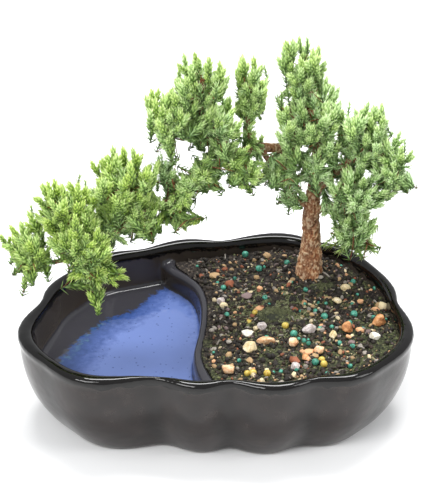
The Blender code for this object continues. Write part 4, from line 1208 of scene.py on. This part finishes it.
def round_places(chance, half, fullness):
    """Directions spread evenly over a round with these half sizes."""
    power = 1.6
    pairs = [(half.x * half.y) ** power, (half.x * half.z) ** power, (half.y * half.z) ** power]
    count = max(10, round(4 * math.pi * (sum(pairs) / 3) ** (1 / power) * fullness / SPRIG_AREA))
    start = chance.uniform(0, 2 * math.pi)
    golden = math.pi * (3 - math.sqrt(5))
    for i in range(count):
        up = 1 - 2 * (i + 0.5) / count
        flat = math.sqrt(1 - up * up)
        yield Vector((flat * math.cos(start + golden * i), flat * math.sin(start + golden * i), up))


# %% From a tip to a sprig
def aim(foot, direction, spin, size):
    """A matrix whose Z axis lies along a direction."""
    return Matrix.Translation(foot) @ direction.to_track_quat("Z", "Y").to_matrix().to_4x4() @ \
        Matrix.Rotation(spin, 4, "Z") @ Matrix.Diagonal((size, size, size, 1.0))


def green_map(chance, youth):
    """The strip of the green map that a shoot uses: up the map the green gets younger."""
    return (0.0, min(0.92, max(0.0, youth + chance.uniform(-0.16, 0.16)))), (1.0, 0.06)


def sprig(chance, tip, direction, youth, brushy):
    """A main bud that ends at the tip, with fingers round it and open needles below, or one open brush."""
    size = chance.uniform(0.8, 1.25)
    if brushy > 0.8:
        foot = tip - direction * 0.024 * size
        return foot, [(SPRAY, aim(foot, direction, chance.uniform(0, 6.3), size), *green_map(chance, youth))]
    foot = tip - direction * 0.0175 * size
    if chance.random() < brushy:
        return foot, [(BRUSH, aim(foot, direction, chance.uniform(0, 6.3), size), *green_map(chance, youth - 0.15))]
    grown = [(BUD, aim(foot, direction, chance.uniform(0, 6.3), size), *green_map(chance, youth))]
    side = direction.orthogonal().normalized()
    start = chance.uniform(0, 6.3)
    for i in range(chance.choice((2, 3, 3, 4))):
        round_stem = Matrix.Rotation(start + i * 1.9 + chance.uniform(-0.3, 0.3), 3, direction) @ side
        lean = (direction + round_stem * chance.uniform(0.40, 0.75)).normalized()
        lean = (lean + Vector((0, 0, 0.2))).normalized()
        base = foot + direction * size * chance.uniform(-0.008, 0.003)
        grown.append((FINGER, aim(base, lean, chance.uniform(0, 6.3), size * chance.uniform(0.8, 1.15)),
                      *green_map(chance, youth)))
    if chance.random() < 0.6:
        foot = foot - direction * 0.009 * size
        grown.append((BRUSH, aim(foot, direction, chance.uniform(0, 6.3), size), *green_map(chance, youth - 0.25)))
    return foot, grown


# %% Grow every clump
wood_points = corners(bpy.data.objects["juniper_wood"])
wood_tree = kdtree.KDTree(len(wood_points))
for i, point in enumerate(wood_points):
    wood_tree.insert(point, i)
wood_tree.balance()

clumps, twig_ends, middles = {}, {}, {}
for seed, (name, (bend, youth, brushy)) in enumerate(HABITS.items()):
    chance = random.Random(100 + seed)
    low, high = (Vector(v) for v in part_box("foliage_" + name))
    middle, half = (low + high) / 2, (high - low) / 2
    on_limb = wood_tree.find(middle)[0]
    clumps[name], feet = [], []
    for way in round_places(chance, half, FULLNESS.get(name, 1.0)):
        if way.z < -0.25 and bend > 0.25 and chance.random() < 0.5:
            continue
        # Inner sprigs take older green and mostly open brushes: painted shade inside the clump, with older needles.
        inner = chance.random() < 0.30
        reach = chance.uniform(0.35, 0.80) if inner else chance.uniform(0.88, 1.38)
        if way.z < 0 and bend > 0.25:
            reach *= 0.82
        out = Vector((way.x * half.x, way.y * half.y, way.z * half.z))
        tip = middle + out * reach
        lowest = middle.z - (0.6 if bend > 0.25 else 0.45) * half.z
        tip.z = max(tip.z, lowest)
        direction = out.normalized() * 0.45 + (tip - on_limb).normalized() * 0.25 + Vector((0, 0, 1.15 * bend))
        direction = (direction.normalized() + Vector([chance.gauss(0, 0.17) for _ in range(3)])).normalized()
        young = youth - (0.18 if inner else 0.0) + 0.08 * way.z
        foot, grown = sprig(chance, tip, direction, young, max(0.7, brushy) if inner and brushy < 0.8 else brushy)
        clumps[name] += grown
        feet.append(foot)
    middles[name], twig_ends[name] = middle, (on_limb, on_limb.lerp(middle, 0.45), feet)

# %% Sprigs straight from the limbs
# Some shoots grow on the limbs themselves.  Each goes to the clump that it is nearest to.  Two stretches of wood
# stay bare, as on the real tree: the long limb's shoulder and its low end.
chance = random.Random(900)
grown_on_limbs = 0
for point in (Vector(p) for p in chance.sample(list(wood_points), 900)):
    off_trunk = math.hypot(point.x - FOOT.x, point.y - FOOT.y)
    from_foot = (point - Vector((FOOT.x, FOOT.y, SOIL_LEVEL))) / MM
    bare = (-34 < from_foot.x < -12 and from_foot.z > 88) or (-166 < from_foot.x < -140 and from_foot.z < 68)
    if off_trunk < 0.011 or bare or from_foot.z < 42 or chance.random() > (0.5 if from_foot.x < -60 else 0.26):
        continue
    name = min(middles, key=lambda key: (middles[key] - point).length)
    axis_out = Vector([chance.gauss(0, 1) for _ in range(3)]).normalized()
    direction = (axis_out * 0.7 + Vector((0, -0.15, 0.35))).normalized()
    bend, youth, brushy = HABITS[name]
    clumps[name] += sprig(chance, point + direction * 0.014, direction, youth - 0.1, 0.45)[1]
    grown_on_limbs += 1
print("shoots:", sum(len(copies) for copies in clumps.values()), "sprigs on limbs:", grown_on_limbs)

# %% [markdown]
# ## Juniper green
# A needle is waxy, a little paler than leaf green, dark at its foot and bright at its tip: partly real, as older
# needles are darker, and partly painted shade deep in the clump.  The map's U runs from the foot of a shoot to its
# tip, and V from old, cool green to this year's yellow-green, so one finish covers the whole tree and every shoot
# can still differ.

# %% The green
foliage_finish, tree, shader = new_finish("waxy_juniper_needles", Roughness=0.48)
layout = add_node(tree, "ShaderNodeUVMap", uv_map="OFBake").outputs["UV"]
split = add_node(tree, "ShaderNodeSeparateXYZ", {"Vector": layout})
# Low U is the dark foot of a shoot: partly older needles, partly painted shade deep in the clump.
old_green = add_node(tree, "ShaderNodeValToRGB", {"Fac": split.outputs["X"]},
                     stops=[(0.0, "#141f0d"), (0.22, "#64864a"), (0.48, "#b8da9a"), (0.76, "#dcf2c6"),
                            (1.0, "#f4fde4")])
young_green = add_node(tree, "ShaderNodeValToRGB", {"Fac": split.outputs["X"]},
                       stops=[(0.0, "#1a2807"), (0.24, "#5c7a22"), (0.50, "#9ebe42"), (0.78, "#c8de70"),
                              (1.0, "#ecf6a8")])
green = add_node(tree, "ShaderNodeMix", {"Factor": split.outputs["Y"], "A": old_green.outputs["Color"],
                                         "B": young_green.outputs["Color"]}, data_type="RGBA")
tree.links.new(green.outputs["Result"], shader.inputs["Base Color"])
for name, copies in clumps.items():
    settle(plant(name, copies), "shoots_" + name, foliage_finish, "juniper_foliage", "foliage_" + name)

# %% [markdown]
# ## Twigs
# Between a limb and its sprigs run thin, red-brown twigs.  From the limb, a few stems fan out into the clump, and
# a twig leads from a stem to the foot of each sprig.  One tapered, slightly crooked stick is copied for all.

# %% The sticks
deselect()
bpy.ops.mesh.primitive_cone_add(vertices=4, radius1=1.0, radius2=0.6, depth=1.0, location=(0, 0, 0.5))
bpy.ops.object.transform_apply(location=True)
stick = bpy.context.object
bpy.ops.object.mode_set(mode="EDIT")
bpy.ops.mesh.select_all(action="SELECT")
bpy.ops.mesh.bisect(plane_co=(0, 0, 0.5), plane_no=(0, 0, 1))
bpy.ops.object.mode_set(mode="OBJECT")
for vert in stick.data.vertices:
    vert.co.x += 0.8 * (1 if abs(vert.co.z - 0.5) < 0.1 else 0)
STICK = template(stick)


def stick_between(start, end, thick, chance):
    """A stick that lies between two points."""
    gap = end - start
    matrix = Matrix.Translation(start) @ gap.to_track_quat("Z", "Y").to_matrix().to_4x4() @ \
        Matrix.Rotation(chance.uniform(0, 6.3), 4, "Z") @ Matrix.Diagonal((thick, thick, gap.length, 1.0))
    return STICK, matrix, (0.02, 0.02), (0.9, 0.9)


chance = random.Random(77)
copies = []
for on_limb, source, feet in twig_ends.values():
    copies.append(stick_between(on_limb, source, 0.0011, chance))
    hubs = [source.lerp(foot, 0.5) for foot in chance.sample(feet, min(9, len(feet)))]
    copies += [stick_between(source, hub, 0.0007, chance) for hub in hubs]
    for foot in feet:
        hub = min(hubs, key=lambda place: (place - foot).length)
        copies.append(stick_between(hub, foot, 0.00042, chance))
twig_finish, tree, shader = new_finish("red_brown_twig_bark", Roughness=0.7)
position = add_node(tree, "ShaderNodeTexCoord").outputs["Object"]
patch = add_node(tree, "ShaderNodeTexNoise", {"Vector": position, "Scale": 1 / 0.004, "Detail": 3.0}).outputs["Fac"]
colour = add_node(tree, "ShaderNodeValToRGB", {"Fac": patch},
                  stops=[(0.35, "#3c2417"), (0.5, "#7c4426"), (0.65, "#9c6a44")])
tree.links.new(colour.outputs["Color"], shader.inputs["Base Color"])
settle(plant("twigs", copies), "juniper_twigs", twig_finish, "juniper_bark")
